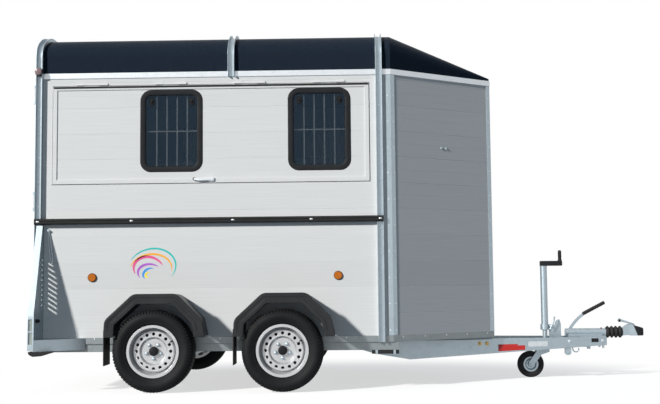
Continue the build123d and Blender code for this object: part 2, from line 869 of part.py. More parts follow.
# Wheels: a tyre and a steel disc wheel with its brake drum, turning about Y
def wheel(x, side, name):
    axis = Axis((x, 0, tyre_radius), (0, 1, 0))
    section = Plane(origin=(x, side * wheel_y, tyre_radius), x_dir=(0, 0, 1), z_dir=(-side, 0, 0))
    half = tyre_width / 2
    bead = 62
    bore = seat_radius - 1 + fit
    with BuildPart() as tyre:
        with BuildSketch(section):
            with BuildLine():
                Line((bore, bead), (bore, -bead))
                RadiusArc((bore, bead), (245, half), -110)
                RadiusArc((245, half), (290, half - 14), -90)
                Line((290, half - 14), (303, half - 30))
                Line((303, half - 30), (tyre_radius, 0))
                Line((tyre_radius, 0), (303, -half + 30))
                Line((303, -half + 30), (290, -half + 14))
                RadiusArc((290, -half + 14), (245, -half), -90)
                RadiusArc((245, -half), (bore, -bead), -110)
            make_face()
        revolve(axis=axis)
    save(tyre, f"tyre_{name}")
    # (radius, outwards) round the rolled rim, then round the dished disc
    rim_points = (
        (flange_radius, rim_half_width), (flange_radius, rim_half_width - 6),
        (seat_radius, rim_half_width - 8), (166, 0),
        (seat_radius, 8 - rim_half_width), (flange_radius, 6 - rim_half_width),
        (flange_radius, -rim_half_width), (176, -rim_half_width), (161, 0), (176, rim_half_width),
    )
    disc_points = (
        (165, 10), (150, 34), (106, 34), (92, disc_y), (hub_radius, disc_y),
        (hub_radius, disc_y - disc_metal), (96, disc_y - disc_metal), (110, 28), (146, 28), (158, 8),
    )
    with BuildPart() as rim:
        for points in (rim_points, disc_points):
            with BuildSketch(section):
                with BuildLine():
                    Polyline(*points, close=True)
                make_face()
            revolve(axis=axis)
        disc_face = side * (wheel_y + disc_y)
        with BuildSketch(Plane(origin=(x, disc_face, tyre_radius), z_dir=(0, side, 0))):
            with PolarLocations(vent_circle, vent_count):
                Circle(vent_radius)
        extrude(amount=rim_half_width, mode=Mode.SUBTRACT)
        with BuildSketch(Plane(origin=(x, disc_face, tyre_radius), z_dir=(0, side, 0))):
            with PolarLocations(bolt_circle, bolt_count):
                RegularPolygon(bolt_head_radius, 6)
        extrude(amount=bolt_head_high)
        drum_y = side * (wheel_y + disc_y - disc_metal)
        with BuildSketch(Plane(origin=(x, drum_y, tyre_radius), z_dir=(0, -side, 0))):
            Circle(drum_radius - drum_inset)
        extrude(amount=drum_depth)
        with BuildSketch(Plane(origin=(x, drum_y, tyre_radius), z_dir=(0, side, 0))):
            Circle(hub_radius)
        extrude(amount=disc_metal + hub_reach)
    save(rim, f"rim_{name}")


wheels = (
    (rear_axle_x, RIGHT, "rear_right"), (rear_axle_x, LEFT, "rear_left"),
    (front_axle_x, RIGHT, "front_right"), (front_axle_x, LEFT, "front_left"),
)
for x, side, name in wheels:
    wheel(x, side, name)

# Axles: a torsion tube under the chassis, trailing arms, stubs and brake backplates
arm_thick = 26
for axle_x, name in ((rear_axle_x, "rear"), (front_axle_x, "front")):
    with BuildPart() as axle:
        with BuildSketch(Plane.XZ.offset(-body_half)):
            with Locations((axle_x + trail, torsion_tube_z)):
                RegularPolygon(torsion_tube_half, 6, rotation=30)
        extrude(amount=2 * body_half)
        for side in (RIGHT, LEFT):
            with BuildSketch(side_plane(side, body_half + arm_thick - 2, arm_thick)):
                with BuildLine():
                    Line((axle_x + trail, torsion_tube_z + 38), (axle_x, tyre_radius + 30))
                    Line((axle_x, tyre_radius + 30), (axle_x - 30, tyre_radius))
                    Line((axle_x - 30, tyre_radius), (axle_x, tyre_radius - 30))
                    Line((axle_x, tyre_radius - 30), (axle_x + trail, torsion_tube_z - 38))
                    Line((axle_x + trail, torsion_tube_z - 38), (axle_x + trail + 38, torsion_tube_z))
                    Line((axle_x + trail + 38, torsion_tube_z), (axle_x + trail, torsion_tube_z + 38))
                make_face()
            extrude(amount=arm_thick)
            back = wheel_y + disc_y - disc_metal - drum_depth - fit
            with BuildSketch(side_plane(side, back, backplate_thick)):
                with Locations((axle_x, tyre_radius)):
                    Circle(drum_radius)
            extrude(amount=backplate_thick)
            with BuildSketch(side_plane(side, back, back - body_half)):
                with Locations((axle_x, tyre_radius)):
                    Circle(24)
            extrude(amount=back - body_half)
        for side in (RIGHT, LEFT):
            slab(
                (axle_x + trail - 60, side * (member_half_out - member_wide), torsion_tube_z + 30),
                (axle_x + trail + 60, side * member_half_out, frame_low),
            )
    save(axle, f"axle_{name}")

# Drawbar: two tapered channels that meet under the overrun housing, tied by cross plates
beam_slope = 0.193
beam_angle = atan2(beam_slope, 1)
beam_end_x = tip_x - 325
beam_end_half = 45
beam_wide = 50
beam_metal = 5
# (back from the drawbar's end, height) round the side of a beam
beam_points = (
    (0, beam_top), (0, 268), (903, 226), (1680, 185), (1968, 237), (2150, frame_low), (2150, beam_top),
)


def beam_half(x):
    """Distance of a beam's inner face from the centre line."""
    return beam_end_half + (beam_end_x - x) * beam_slope


with BuildPart() as beams:
    web = Plane(
        origin=(beam_end_x, -(beam_end_half + beam_wide), 0),
        x_dir=(-cos(beam_angle), -sin(beam_angle), 0),
        z_dir=(-sin(beam_angle), cos(beam_angle), 0),
    )
    with BuildSketch(web):
        with BuildLine():
            Polyline(*beam_points, close=True)
        make_face()
    extrude(amount=beam_wide)
    with BuildSketch(web.offset(beam_metal)):
        with BuildLine():
            Polyline(*beam_points, close=True)
        make_face()
        offset(amount=-beam_metal, kind=Kind.INTERSECTION, mode=Mode.REPLACE)
    extrude(amount=beam_wide, mode=Mode.SUBTRACT)
    mirror(about=Plane.XZ)
    for x in (beam_end_x - 24, tip_x - 680, corner_x + 120):
        half = beam_half(x) + beam_metal
        slab((x - 4, -half, 275), (x + 4, half, beam_top))
save(beams, "drawbar_beams")

# Overrun housing: the tube and foot plate on the drawbar's end
shaft_z = 372
housing_start = tip_x - 650
housing_end = tip_x - 315
with BuildPart() as housing:
    with BuildSketch(Plane.YZ.offset(housing_start)):
        with Locations((0, shaft_z)):
            Circle(32)
    extrude(amount=housing_end - housing_start)
    slab((housing_start + 8, -78, beam_top), (beam_end_x - 6, 78, beam_top + 8))
    slab((housing_start + 20, -30, beam_top), (beam_end_x - 20, 30, shaft_z))
save(housing, "overrun_housing")

# Brake rod: from the lever under the housing to the plate on the front axle's tube
rod_radius = 6
rod_y = -58
rod_z = 258
rod_plate = 10
rod_start = front_axle_x + trail + torsion_tube_half * cos(radians(30)) + fit
rod_end = tip_x - 470
with BuildPart() as brake_rod:
    with BuildSketch(Plane.YZ.offset(rod_start)):
        with Locations((rod_y, rod_z)):
            Circle(rod_radius)
    extrude(amount=rod_end - rod_start)
    slab(
        (rod_start, rod_y - 50, torsion_tube_z - 15),
        (rod_start + rod_plate, rod_y + 50, torsion_tube_z + 20),
    )
    slab(
        (rod_end - 14, rod_y - rod_radius, rod_z - 22),
        (rod_end + 14, rod_y + rod_radius, beam_top - fit),
    )
save(brake_rod, "brake_rod")

# Bellows between the housing and the coupling head
bellows_end = tip_x - 176
fold_count = 4
with BuildPart() as bellows:
    pitch = (bellows_end - housing_end - 2 * fit) / fold_count
    with BuildSketch(Plane.XZ):
        with BuildLine():
            start = (housing_end + fit, shaft_z + 36)
            Line((housing_end + fit, shaft_z), start)
            for i in range(fold_count):
                left = housing_end + fit + i * pitch
                Polyline(
                    (left, shaft_z + 36), (left + pitch * 0.35, shaft_z + 50),
                    (left + pitch * 0.65, shaft_z + 50), (left + pitch, shaft_z + 36),
                )
            Line((bellows_end - fit, shaft_z + 36), (bellows_end - fit, shaft_z))
            Line((bellows_end - fit, shaft_z), (housing_end + fit, shaft_z))
        make_face()
    revolve(axis=Axis((0, 0, shaft_z), (1, 0, 0)))
save(bellows, "bellows")

# Coupling head: a pressed shell over the ball, cut by its side and plan outlines
ball_radius = 25
ball_x = tip_x - 52
ball_z = 372
head_low = 341
# (from the tip, height) round the side, then (from the tip, half width) along the plan
head_side = (
    (-176, 342), (-176, 402), (-140, 428), (-114, 437), (-12, 406), (0, 396),
    (0, 352), (-8, head_low), (-110, head_low), (-125, 346),
)
head_plan = ((-176, 30), (-120, 34), (-80, 42), (-30, 42), (-8, 30), (0, 14))
with BuildPart() as head:
    with BuildSketch(Plane.XZ):
        with BuildLine():
            Polyline(*((tip_x + x, z) for x, z in head_side), close=True)
        make_face()
    extrude(amount=60, both=True)
    with BuildSketch(plan(head_low - 10)):
        with BuildLine():
            Polyline((tip_x + head_plan[0][0], 0), *((tip_x + x, y) for x, y in head_plan), (tip_x, 0))
            mirror(about=Plane.XZ)
        make_face()
    extrude(amount=200, mode=Mode.INTERSECT)
    with Locations((ball_x, 0, ball_z)):
        Sphere(ball_radius + fit, mode=Mode.SUBTRACT)
    with BuildSketch(plan(head_low - 5)):
        with Locations((ball_x, 0)):
            Circle(ball_radius + fit)
    extrude(amount=ball_z - head_low + 5, mode=Mode.SUBTRACT)
save(head, "coupling_head")

with BuildPart() as handle:
    with BuildSketch(Plane.XZ.offset(-12)):
        with BuildLine():
            Polyline(
                (tip_x - 114, 438), (tip_x - 70, 425), (tip_x - 74, 440), (tip_x - 122, 457),
                (tip_x - 190, 480), (tip_x - 204, 478), (tip_x - 206, 462), (tip_x - 190, 459),
                close=True,
            )
        make_face()
    extrude(amount=24)
save(handle, "coupling_handle")

# Handbrake: a flat lever cranked up and forwards, with a round grip
lever_points = ((tip_x - 610, 393), (tip_x - 546, 474), (tip_x - 475, 531))
grip_end = (tip_x - 302, 619)
lever_y = 32 + fit
with BuildPart() as lever:
    with BuildSketch(Plane.XZ.offset(-lever_y - 8)):
        with BuildLine() as spine:
            Polyline((tip_x - 610, 350), *lever_points)
        trace(line_width=26)
    extrude(amount=8)
    lean = atan2(grip_end[1] - lever_points[-1][1], grip_end[0] - lever_points[-1][0])
    with BuildSketch(
        Plane(
            origin=(lever_points[-1][0] - 20 * cos(lean), lever_y + 4, lever_points[-1][1] - 20 * sin(lean)),
            z_dir=(cos(lean), 0, sin(lean)),
        )
    ):
        Circle(15)
    extrude(amount=215)
save(lever, "handbrake_lever")

# Jockey wheel: outer tube in its clamp, sliding leg with fork, and the wheel
jockey_x = tip_x - 819
jockey_tube = 57
jockey_wall = 3
jockey_foot = 393
jockey_head = 924
leg_radius = 20
bush_high = 30
clamp_low = 300
clamp_high = 44
fin_thick = 12
fin_rear = jockey_x + 84
fin_front = tip_x - 684 - fit
fin_top = 480
fin_round = 38
with BuildPart() as outer_tube:
    with BuildSketch(plan(jockey_foot)):
        with Locations((jockey_x, 0)):
            Circle(jockey_tube / 2)
            Circle(jockey_tube / 2 - jockey_wall, mode=Mode.SUBTRACT)
    extrude(amount=jockey_head - jockey_foot)
    with BuildSketch(plan(jockey_head)):
        with Locations((jockey_x, 0)):
            Circle(jockey_tube / 2 + 1)
    extrude(amount=6)
    with BuildSketch(plan(jockey_foot)):
        with Locations((jockey_x, 0)):
            Circle(jockey_tube / 2 - jockey_wall / 2)
            Circle(leg_radius + fit, mode=Mode.SUBTRACT)
    extrude(amount=bush_high)
    with BuildSketch(plan(jockey_foot + 4)):
        with Locations((jockey_x, 0)):
            Circle(jockey_tube / 2 + 9)
            Circle(jockey_tube / 2 - jockey_wall / 2, mode=Mode.SUBTRACT)
    extrude(amount=clamp_high)
    slab(
        (jockey_x + jockey_tube / 2 + 4, -fin_thick / 2, clamp_low),
        (fin_front, fin_thick / 2, jockey_foot + clamp_high),
    )
    with BuildSketch(Plane.XZ.offset(-fin_thick / 2)):
        with BuildLine():
            Line((fin_rear, clamp_low), (fin_rear, fin_top - fin_round))
            RadiusArc((fin_rear, fin_top - fin_round), (fin_rear + fin_round, fin_top), fin_round)
            Line((fin_rear + fin_round, fin_top), (fin_front, fin_top - fin_round))
            Line((fin_front, fin_top - fin_round), (fin_front, clamp_low))
            Line((fin_front, clamp_low), (fin_rear, clamp_low))
        make_face()
    extrude(amount=fin_thick)
save(outer_tube, "jockey_outer_tube")

crank_reach = 136
crank_arm_high = 38
crank_arm_wide = 42
crank_grip_radius = 14
with BuildPart() as crank:
    with BuildSketch(plan(jockey_head + 6)):
        with Locations((jockey_x, 0)):
            Circle(12)
    extrude(amount=6)
    with BuildSketch(plan(jockey_head + 8)):
        with Locations((jockey_x + crank_reach / 2, 0)):
            SlotCenterToCenter(crank_reach, crank_arm_wide)
    extrude(amount=crank_arm_high)
    with BuildSketch(plan(jockey_head + 8 + crank_arm_high)):
        with Locations((jockey_x + crank_reach, 0)):
            Circle(crank_grip_radius)
    extrude(amount=91)
save(crank, "jockey_crank")

jockey_radius = 110
jockey_wheel_x = jockey_x - 127
fork_inner = 36
fork_metal = 5
fork_top = 234
leg_long = 380
leg_head_high = 24
pin_radius = 8
with BuildPart() as leg:
    with BuildSketch(plan(fork_top)):
        with Locations((jockey_x, 0)):
            Circle(leg_radius)
    extrude(amount=leg_long)
    with BuildSketch(plan(fork_top + leg_long - leg_head_high)):
        with Locations((jockey_x, 0)):
            Circle(jockey_tube / 2 - jockey_wall - fit)
    extrude(amount=leg_head_high)
    slab(
        (jockey_x - 70, -(fork_inner + fork_metal), fork_top - 6),
        (jockey_x + 28, fork_inner + fork_metal, fork_top),
    )
    for side in (RIGHT, LEFT):
        with BuildSketch(side_plane(side, fork_inner + fork_metal, fork_metal)):
            with BuildLine():
                Polyline(
                    (jockey_x + 28, fork_top), (jockey_x - 70, fork_top),
                    (jockey_wheel_x - 20, jockey_radius + 14), (jockey_wheel_x - 14, jockey_radius - 16),
                    (jockey_wheel_x + 14, jockey_radius - 16),
                    (jockey_x - 38, 190), (jockey_x + 28, 212), close=True,
                )
            make_face()
        extrude(amount=fork_metal)
    with BuildSketch(Plane.XZ.offset(-fork_inner)):
        with Locations((jockey_wheel_x, jockey_radius)):
            Circle(pin_radius)
    extrude(amount=2 * fork_inner)
save(leg, "jockey_leg")

jockey_rim_radius = 70
jockey_axis = Axis((jockey_wheel_x, 0, jockey_radius), (0, 1, 0))
jockey_section = Plane(origin=(jockey_wheel_x, 0, jockey_radius), x_dir=(0, 0, 1), z_dir=(1, 0, 0))
# (radius, across) round half of each section
jockey_rim_points = ((pin_radius + fit, 30), (20, 30), (20, 8), (54, 8), (60, 26), (jockey_rim_radius, 28))
jockey_tyre_points = ((jockey_rim_radius + fit, 26), (84, 31), (100, 29), (108, 18), (jockey_radius, 0))
for points, name in ((jockey_rim_points, "jockey_rim"), (jockey_tyre_points, "jockey_tyre")):
    with BuildPart() as ring:
        with BuildSketch(jockey_section):
            with BuildLine():
                Polyline(*points, *((r, -y) for r, y in reversed(points) if y), close=True)
            make_face()
        revolve(axis=jockey_axis)
    save(ring, name)

# Inside: a divider between the stalls and the wall of the tack room
bulkhead_x = corner_x - 70
breast_bar_z = 1400
divider_start = rear_x + 330
divider_end = bulkhead_x - 620
with BuildPart() as bulkhead:
    slab(
        (bulkhead_x - 20, -(body_half - wall - fit), floor_top + fit),
        (bulkhead_x, body_half - wall - fit, rail_top),
    )
save(bulkhead, "tack_bulkhead")

with BuildPart() as divider:
    slab((divider_start, -15, 900), (divider_end, 15, 1850))
    for x in (divider_start, divider_end - 50):
        slab((x, -25, floor_top + fit), (x + 50, 25, 1860))
    with BuildSketch(Plane.XZ.offset(-(body_half - wall - fit))):
        with Locations((divider_end - 25, breast_bar_z)):
            Circle(20)
    extrude(amount=2 * (body_half - wall - fit))
save(divider, "divider")

# Reflectors on the lower walls and the domed disc on the nose
reflector_in = 445
reflector_back = 417
reflector_z = 862
reflector_radius = 30
with BuildPart() as reflectors:
    for side in (RIGHT, LEFT):
        with BuildSketch(side_plane(side, body_half + 12, 12 - fit)):
            with Locations((rear_x + reflector_in, reflector_z), (corner_x - reflector_back, reflector_z)):
                Circle(reflector_radius)
        extrude(amount=12 - fit)
save(reflectors, "side_reflectors")

dome_radius = 100
dome_high = 40
dome_z = 1173
dome_sphere = (dome_radius**2 + dome_high**2) / (2 * dome_high)
with BuildPart() as dome:
    with BuildSketch(Plane.XZ):
        with BuildLine():
            Line((nose_x + fit, dome_z), (nose_x + dome_high, dome_z))
            RadiusArc((nose_x + dome_high, dome_z), (nose_x + fit, dome_z + dome_radius), -dome_sphere)
            Line((nose_x + fit, dome_z + dome_radius), (nose_x + fit, dome_z))
        make_face()
    revolve(axis=Axis((0, 0, dome_z), (1, 0, 0)))
save(dome, "nose_dome")
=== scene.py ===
import json
from math import atan, atan2, cos, hypot, pi, radians, sin

import bmesh
import bpy
from mathutils import Matrix, Vector


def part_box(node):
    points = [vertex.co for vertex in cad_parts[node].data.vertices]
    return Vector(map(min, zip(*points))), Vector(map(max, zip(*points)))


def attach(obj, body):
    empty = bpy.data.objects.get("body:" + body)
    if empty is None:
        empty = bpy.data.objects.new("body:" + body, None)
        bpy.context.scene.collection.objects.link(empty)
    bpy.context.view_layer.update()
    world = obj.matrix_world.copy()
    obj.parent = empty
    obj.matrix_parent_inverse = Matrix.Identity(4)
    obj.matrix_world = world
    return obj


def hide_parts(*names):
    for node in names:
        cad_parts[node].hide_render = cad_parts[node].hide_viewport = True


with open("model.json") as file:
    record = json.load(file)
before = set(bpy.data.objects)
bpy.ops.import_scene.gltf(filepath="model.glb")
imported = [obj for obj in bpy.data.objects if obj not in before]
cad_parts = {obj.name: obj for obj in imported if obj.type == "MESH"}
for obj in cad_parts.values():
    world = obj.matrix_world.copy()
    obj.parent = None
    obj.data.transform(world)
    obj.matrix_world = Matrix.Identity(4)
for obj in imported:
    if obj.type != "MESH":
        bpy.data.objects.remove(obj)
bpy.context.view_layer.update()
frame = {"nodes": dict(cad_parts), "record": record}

# Looks of a twin-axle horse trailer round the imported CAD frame. X points forwards, Y to the left and
# Z up; the photograph shows the right side, at -Y. The scene is in metres, shapes are given in millimetres.

NODES = frame["nodes"]
SLOTS = {part["node"]: part["material_slot"] for part in frame["record"]["subparts"]}
BODIES = {node: body for body, held in frame["record"]["behaviour"]["bodies"].items() for node in held}
MM = 0.001
RIGHT, LEFT = -1, 1
HANDS = ((RIGHT, "right"), (LEFT, "left"))
DOWN = (0, 0, -1)
WALL = 30
WINDOW_WIDTH = 485
WINDOW_CORNER = 85

# Light and floor: the sky's level and colour; where the sun stands, its strength, spread in degrees
# and colour; the floor's half size in metres, what it reflects, how pale the camera sees it, how far
# white takes over near the trailer and away from it, and how far out along X and Y that reaches
SKY_LEVEL = 0.155
SKY_COLOUR = (0.59, 0.80, 1.0)
SUN_TOWARDS = (-1.15, -1.0, 0.75)
SUN_STRENGTH = 4.45
SUN_SPREAD = 4
SUN_COLOUR = (1.0, 0.98, 0.95)
FLOOR_HALF = 60
FLOOR_BOUNCE = (0.165, 0.205, 0.250)
FLOOR_PALE = 1.32
FLOOR_GLOW = (0.62, 1.0)
SHADE_REACH = (1.9, 1.3)
SHADE_BAND = (0.8, 1.9)

# Places read from the frame, in millimetres
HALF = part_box("walls_lower")[1].y / MM
NOSE_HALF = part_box("nose_front")[1].y / MM
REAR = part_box("roof_main")[0].x / MM
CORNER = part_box("roof_nose")[0].x / MM
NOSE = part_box("roof_nose")[1].x / MM
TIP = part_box("coupling_head")[1].x / MM
SILL_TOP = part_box("sill_rail")[1].z / MM
RAIL_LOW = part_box("eaves_rails")[0].z / MM
GUARD_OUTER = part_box("mudguards")[1].y / MM
NOSE_ANGLE = atan2(HALF - NOSE_HALF, NOSE - CORNER)
BEAM_SLOPE = 0.193
BEAM_ANGLE = atan(BEAM_SLOPE)

# Camera at the photograph's viewing angle
PHOTO_WIDTH = 660
FOCAL_PIXELS = 1040
CAMERA_AT = (0.059, -8.85, 0.811)
CAMERA_YAW = radians(1.46)
CAMERA_PITCH = radians(4.40)
CAMERA_ROLL = radians(0.54)


def make_camera():
    data = bpy.data.cameras.new("camera")
    data.sensor_width = 36
    data.lens = data.sensor_width * FOCAL_PIXELS / PHOTO_WIDTH
    data.clip_end = 200
    camera = bpy.data.objects.new("camera", data)
    bpy.context.scene.collection.objects.link(camera)
    turn = Matrix.Rotation(CAMERA_YAW, 4, "Z") @ Matrix.Rotation(radians(90) + CAMERA_PITCH, 4, "X")
    camera.matrix_world = Matrix.Translation(CAMERA_AT) @ turn @ Matrix.Rotation(-CAMERA_ROLL, 4, "Z")
    bpy.context.scene.camera = camera


# Materials
MATERIALS = {}


def material(name, base, rough, metal=0.0, **sockets):
    """A plain material, kept in MATERIALS; further settings are named after their sockets."""
    made = MATERIALS[name] = bpy.data.materials.new(name)
    made.use_nodes = True
    shader = made.node_tree.nodes["Principled BSDF"]
    shader.inputs["Base Color"].default_value = (*base, 1)
    shader.inputs["Roughness"].default_value = rough
    shader.inputs["Metallic"].default_value = metal
    for key, value in sockets.items():
        shader.inputs[key.replace("_", " ")].default_value = value
    return made


def shade(base, factor):
    return tuple(min(1, c * factor) for c in base)


class Nodes:
    """Short calls for adding and wiring the nodes of a material or a world."""

    def __init__(self, made):
        self.tree = made.node_tree
        self.shader = self.tree.nodes.get("Principled BSDF")

    def add(self, kind, inputs=None, **settings):
        node = self.tree.nodes.new("ShaderNode" + kind)
        for key, value in settings.items():
            setattr(node, key, value)
        for key, value in (inputs or {}).items():
            if isinstance(value, bpy.types.NodeSocket):
                self.tree.links.new(value, node.inputs[key])
            else:
                node.inputs[key].default_value = value
        return node

    def point(self, scale=(1, 1, 1)):
        place = self.add("TexCoord")
        return self.add("Mapping", {"Vector": place.outputs["Object"], "Scale": scale}).outputs[0]

    def noise(self, scale, detail=3, stretch=(1, 1, 1)):
        inputs = {"Vector": self.point(stretch), "Scale": scale, "Detail": detail}
        return self.add("TexNoise", inputs).outputs["Fac"]

    def ramp(self, value, stops):
        ramp = self.add("ValToRGB", {"Fac": value})
        while len(ramp.color_ramp.elements) < len(stops):
            ramp.color_ramp.elements.new(0.5)
        for element, (place, colour) in zip(ramp.color_ramp.elements, stops):
            element.position = place
            element.color = (*colour, 1)
        return ramp.outputs["Color"]

    def span(self, value, low, high):
        return self.add("MapRange", {"Value": value, "To Min": low, "To Max": high}).outputs[0]

    def bump(self, height, strength, distance):
        bump = self.add("Bump", {"Height": height, "Strength": strength, "Distance": distance})
        self.tree.links.new(bump.outputs[0], self.shader.inputs["Normal"])

    def link(self, value, socket):
        self.tree.links.new(value, self.shader.inputs[socket])

    def tones(self, value, base, *stops):
        """The base colour follows value, through (place, factor) stops."""
        self.link(self.ramp(value, [(place, shade(base, factor)) for place, factor in stops]), "Base Color")

    def dull(self, value, low, high):
        """The roughness follows value."""
        self.link(self.span(value, low, high), "Roughness")

    def cells(self, scale):
        return self.add("TexVoronoi", {"Vector": self.point(), "Scale": scale}).outputs["Distance"]

    def seen(self):
        """1 for what the camera sees, straight or in a reflection or through glass, and 0 for light."""
        rays = self.add("LightPath").outputs
        seen = rays["Is Camera Ray"]
        for other in ("Is Glossy Ray", "Is Transmission Ray"):
            seen = self.add("Math", {0: seen, 1: rays[other]}, operation="MAXIMUM").outputs[0]
        return seen

    def show(self, seen, plain, shown, output):
        """Sends plain to the output for light, and shown for what the camera sees."""
        mix = self.add("MixShader", {0: seen, 1: plain.outputs[0], 2: shown.outputs[0]})
        self.tree.links.new(mix.outputs[0], self.tree.nodes[output].inputs["Surface"])


def panel_material():
    """Anodised aluminium planks: long faint grain, slight tone changes and a soft sheen."""
    base = (0.72, 0.73, 0.73)
    nodes = Nodes(material("panel", base, 0.45, 0.04, Specular_IOR_Level=0.2))
    grain = nodes.noise(9, 4, (0.25, 0.25, 30))
    # One tone for each plank: 5 planks to a metre, moved by 0.14 so that the joints fall on whole numbers
    height = nodes.add("SeparateXYZ", {0: nodes.point((1, 1, 5))}).outputs["Z"]
    moved = nodes.add("Math", {0: height, 1: 0.14}).outputs[0]
    plank = nodes.add("Math", {0: moved}, operation="FLOOR").outputs[0]
    tone = nodes.add("TexWhiteNoise", {"W": plank}, noise_dimensions="1D").outputs["Value"]
    mixed = nodes.add("Math", {0: grain, 1: nodes.span(tone, -0.12, 0.12)}).outputs[0]
    nodes.tones(mixed, base, (0.25, 0.93), (0.75, 1.04))
    nodes.dull(nodes.noise(3, 3), 0.36, 0.5)
    nodes.bump(nodes.noise(60, 2, (0.1, 0.1, 4)), 0.08, 0.0005)


def steel_material(name, base, rough=0.42, metal=0.85):
    """Hot-dip galvanised steel: spangle in tone and gloss over a fine grain."""
    nodes = Nodes(material(name, base, rough, metal))
    blend = nodes.add("Math", {0: nodes.cells(90), 1: nodes.noise(14, 4)}).outputs[0]
    nodes.tones(blend, base, (0.35, 0.86), (0.95, 1.14))
    nodes.dull(nodes.noise(22, 3), rough - 0.08, rough + 0.14)
    nodes.bump(nodes.noise(180, 2), 0.12, 0.0004)


def roof_material():
    """Dark glossy moulding with fine pale flecks."""
    base = (0.011, 0.019, 0.033)
    nodes = Nodes(material("roof_gelcoat", base, 0.34, Specular_IOR_Level=0.005))
    flecks = nodes.noise(900, 1)
    nodes.link(nodes.ramp(flecks, ((0.62, base), (0.72, (0.11, 0.115, 0.12)))), "Base Color")
    nodes.dull(nodes.noise(5, 3), 0.26, 0.36)
    nodes.bump(nodes.noise(9, 2), 0.05, 0.004)


def moulded_material(name, base, rough, grain=400, depth=0.0004, gloss=0.25):
    """Moulded plastic or rubber: slight tone change and a fine grain."""
    nodes = Nodes(material(name, base, rough, Specular_IOR_Level=gloss))
    nodes.tones(nodes.noise(6, 4), base, (0.3, 0.8), (0.75, 1.35))
    nodes.dull(nodes.noise(18, 3), rough - 0.08, rough + 0.1)
    nodes.bump(nodes.noise(grain, 2), 0.25, depth)


def paint_material(name, base, rough, metal=0.0, coat=0.3):
    nodes = Nodes(material(name, base, rough, metal, Coat_Weight=coat))
    nodes.tones(nodes.noise(12, 3), base, (0.3, 0.94), (0.7, 1.06))
    nodes.dull(nodes.noise(30, 3), rough - 0.05, rough + 0.08)
    nodes.bump(nodes.noise(250, 2), 0.06, 0.0003)


def lens_material(name, base, transmission=0.25, coat=0.5):
    """Lamp lens or reflector with a fine prism pattern."""
    nodes = Nodes(material(
        name, base, 0.16, Transmission_Weight=transmission, Coat_Weight=coat, Specular_IOR_Level=0.3
    ))
    prisms = nodes.cells(260)
    nodes.tones(prisms, base, (0.0, 1.25), (0.6, 0.75))
    nodes.bump(prisms, 0.35, 0.0012)


def board_material():
    """Coated floor board with a fine anti-slip pattern."""
    base = (0.16, 0.115, 0.08)
    nodes = Nodes(material("floor_ply", base, 0.6))
    nodes.tones(nodes.noise(4, 5, (0.3, 3, 3)), base, (0.3, 0.7), (0.7, 1.3))
    nodes.bump(nodes.cells(160), 0.3, 0.001)


panel_material()
steel_material("aluminium", (0.60, 0.64, 0.67), 0.36, 0.7)
steel_material("galvanised", (0.33, 0.39, 0.43))
steel_material("dull_steel", (0.21, 0.235, 0.245), 0.5, 0.75)
roof_material()
moulded_material("black_plastic", (0.017, 0.018, 0.020), 0.5, gloss=0.12)
moulded_material("black_rubber", (0.016, 0.016, 0.017), 0.7, 300, 0.0006)
moulded_material("tyre", (0.0135, 0.0140, 0.0150), 0.6, 500, 0.0005, 0.1)
paint_material("wheel_silver", (0.56, 0.57, 0.58), 0.34, 0.55)
# Painted shade: a darker, nearly opaque copy of the pane glass for the far windows, so the view through
# both windows stays dark
material("shaded_far_pane", (0.006, 0.022, 0.040), 0.05, Alpha=0.9, Specular_IOR_Level=0.3)
material("tinted_pane", (0.008, 0.030, 0.055), 0.04, Alpha=0.45, Specular_IOR_Level=0.3)
board_material()
lens_material("lamp_red", (0.42, 0.012, 0.012))
lens_material("lamp_clear", (0.50, 0.56, 0.52), 0.2)
lens_material("lamp_outline", (0.34, 0.22, 0.23), 0.1)
lens_material("reflector_amber", (0.62, 0.16, 0.0), 0.0, 0.1)
paint_material("disc_paint", (0.62, 0.30, 0.14), 0.3)
moulded_material("guard_plastic", (0.020, 0.021, 0.023), 0.36, 500, 0.0002)
moulded_material("cast_iron", (0.030, 0.028, 0.027), 0.7, 200, 0.0006)
steel_material("yellow_zinc", (0.42, 0.31, 0.13), 0.4, 0.8)


# Mesh helpers
def meshes(count):
    return [bmesh.new() for _ in range(count)]


def link_object(name, data):
    made = bpy.data.objects.new(name, data)
    bpy.context.scene.collection.objects.link(made)
    return made


def piece(name, bm, mat, body="body", nodes=(), sharp=38, weighted=True):
    """Turns bm into a finished piece that rides on a body and stands for the given nodes."""
    bmesh.ops.recalc_face_normals(bm, faces=bm.faces)
    mesh = bpy.data.meshes.new(name)
    bm.to_mesh(mesh)
    bm.free()
    if sharp:
        mesh.shade_smooth()
        mesh.set_sharp_from_angle(angle=radians(sharp))
    else:
        mesh.shade_flat()
    mesh.materials.append(MATERIALS[mat])
    made = link_object(name, mesh)
    if weighted:
        made.modifiers.new("normals", "WEIGHTED_NORMAL").keep_sharp = True
    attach(made, body)
    if nodes:
        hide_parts(*nodes)
    return made


def mm_box(node):
    low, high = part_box(node)
    return low / MM, high / MM


def node_mesh(name):
    """A copy of a node's mesh, welded, with its flat faces merged."""
    bm = bmesh.new()
    bm.from_mesh(NODES[name].data)
    bmesh.ops.remove_doubles(bm, verts=bm.verts, dist=2e-5)
    bmesh.ops.dissolve_limit(bm, angle_limit=radians(0.4), verts=bm.verts, edges=bm.edges)
    return bm


def round_edges(bm, width, segments=2, above=30):
    edges = [e for e in bm.edges if len(e.link_faces) == 2 and e.calc_face_angle() > radians(above)]
    bmesh.ops.bevel(
        bm, geom=edges, offset=width, segments=segments, profile=0.6, affect="EDGES", clamp_overlap=True
    )


def cut(bm, point, normal, **settings):
    """Cuts a mesh along a plane given in metres."""
    geom = bm.verts[:] + bm.edges[:] + bm.faces[:]
    bmesh.ops.bisect_plane(bm, geom=geom, plane_co=point, plane_no=normal, **settings)


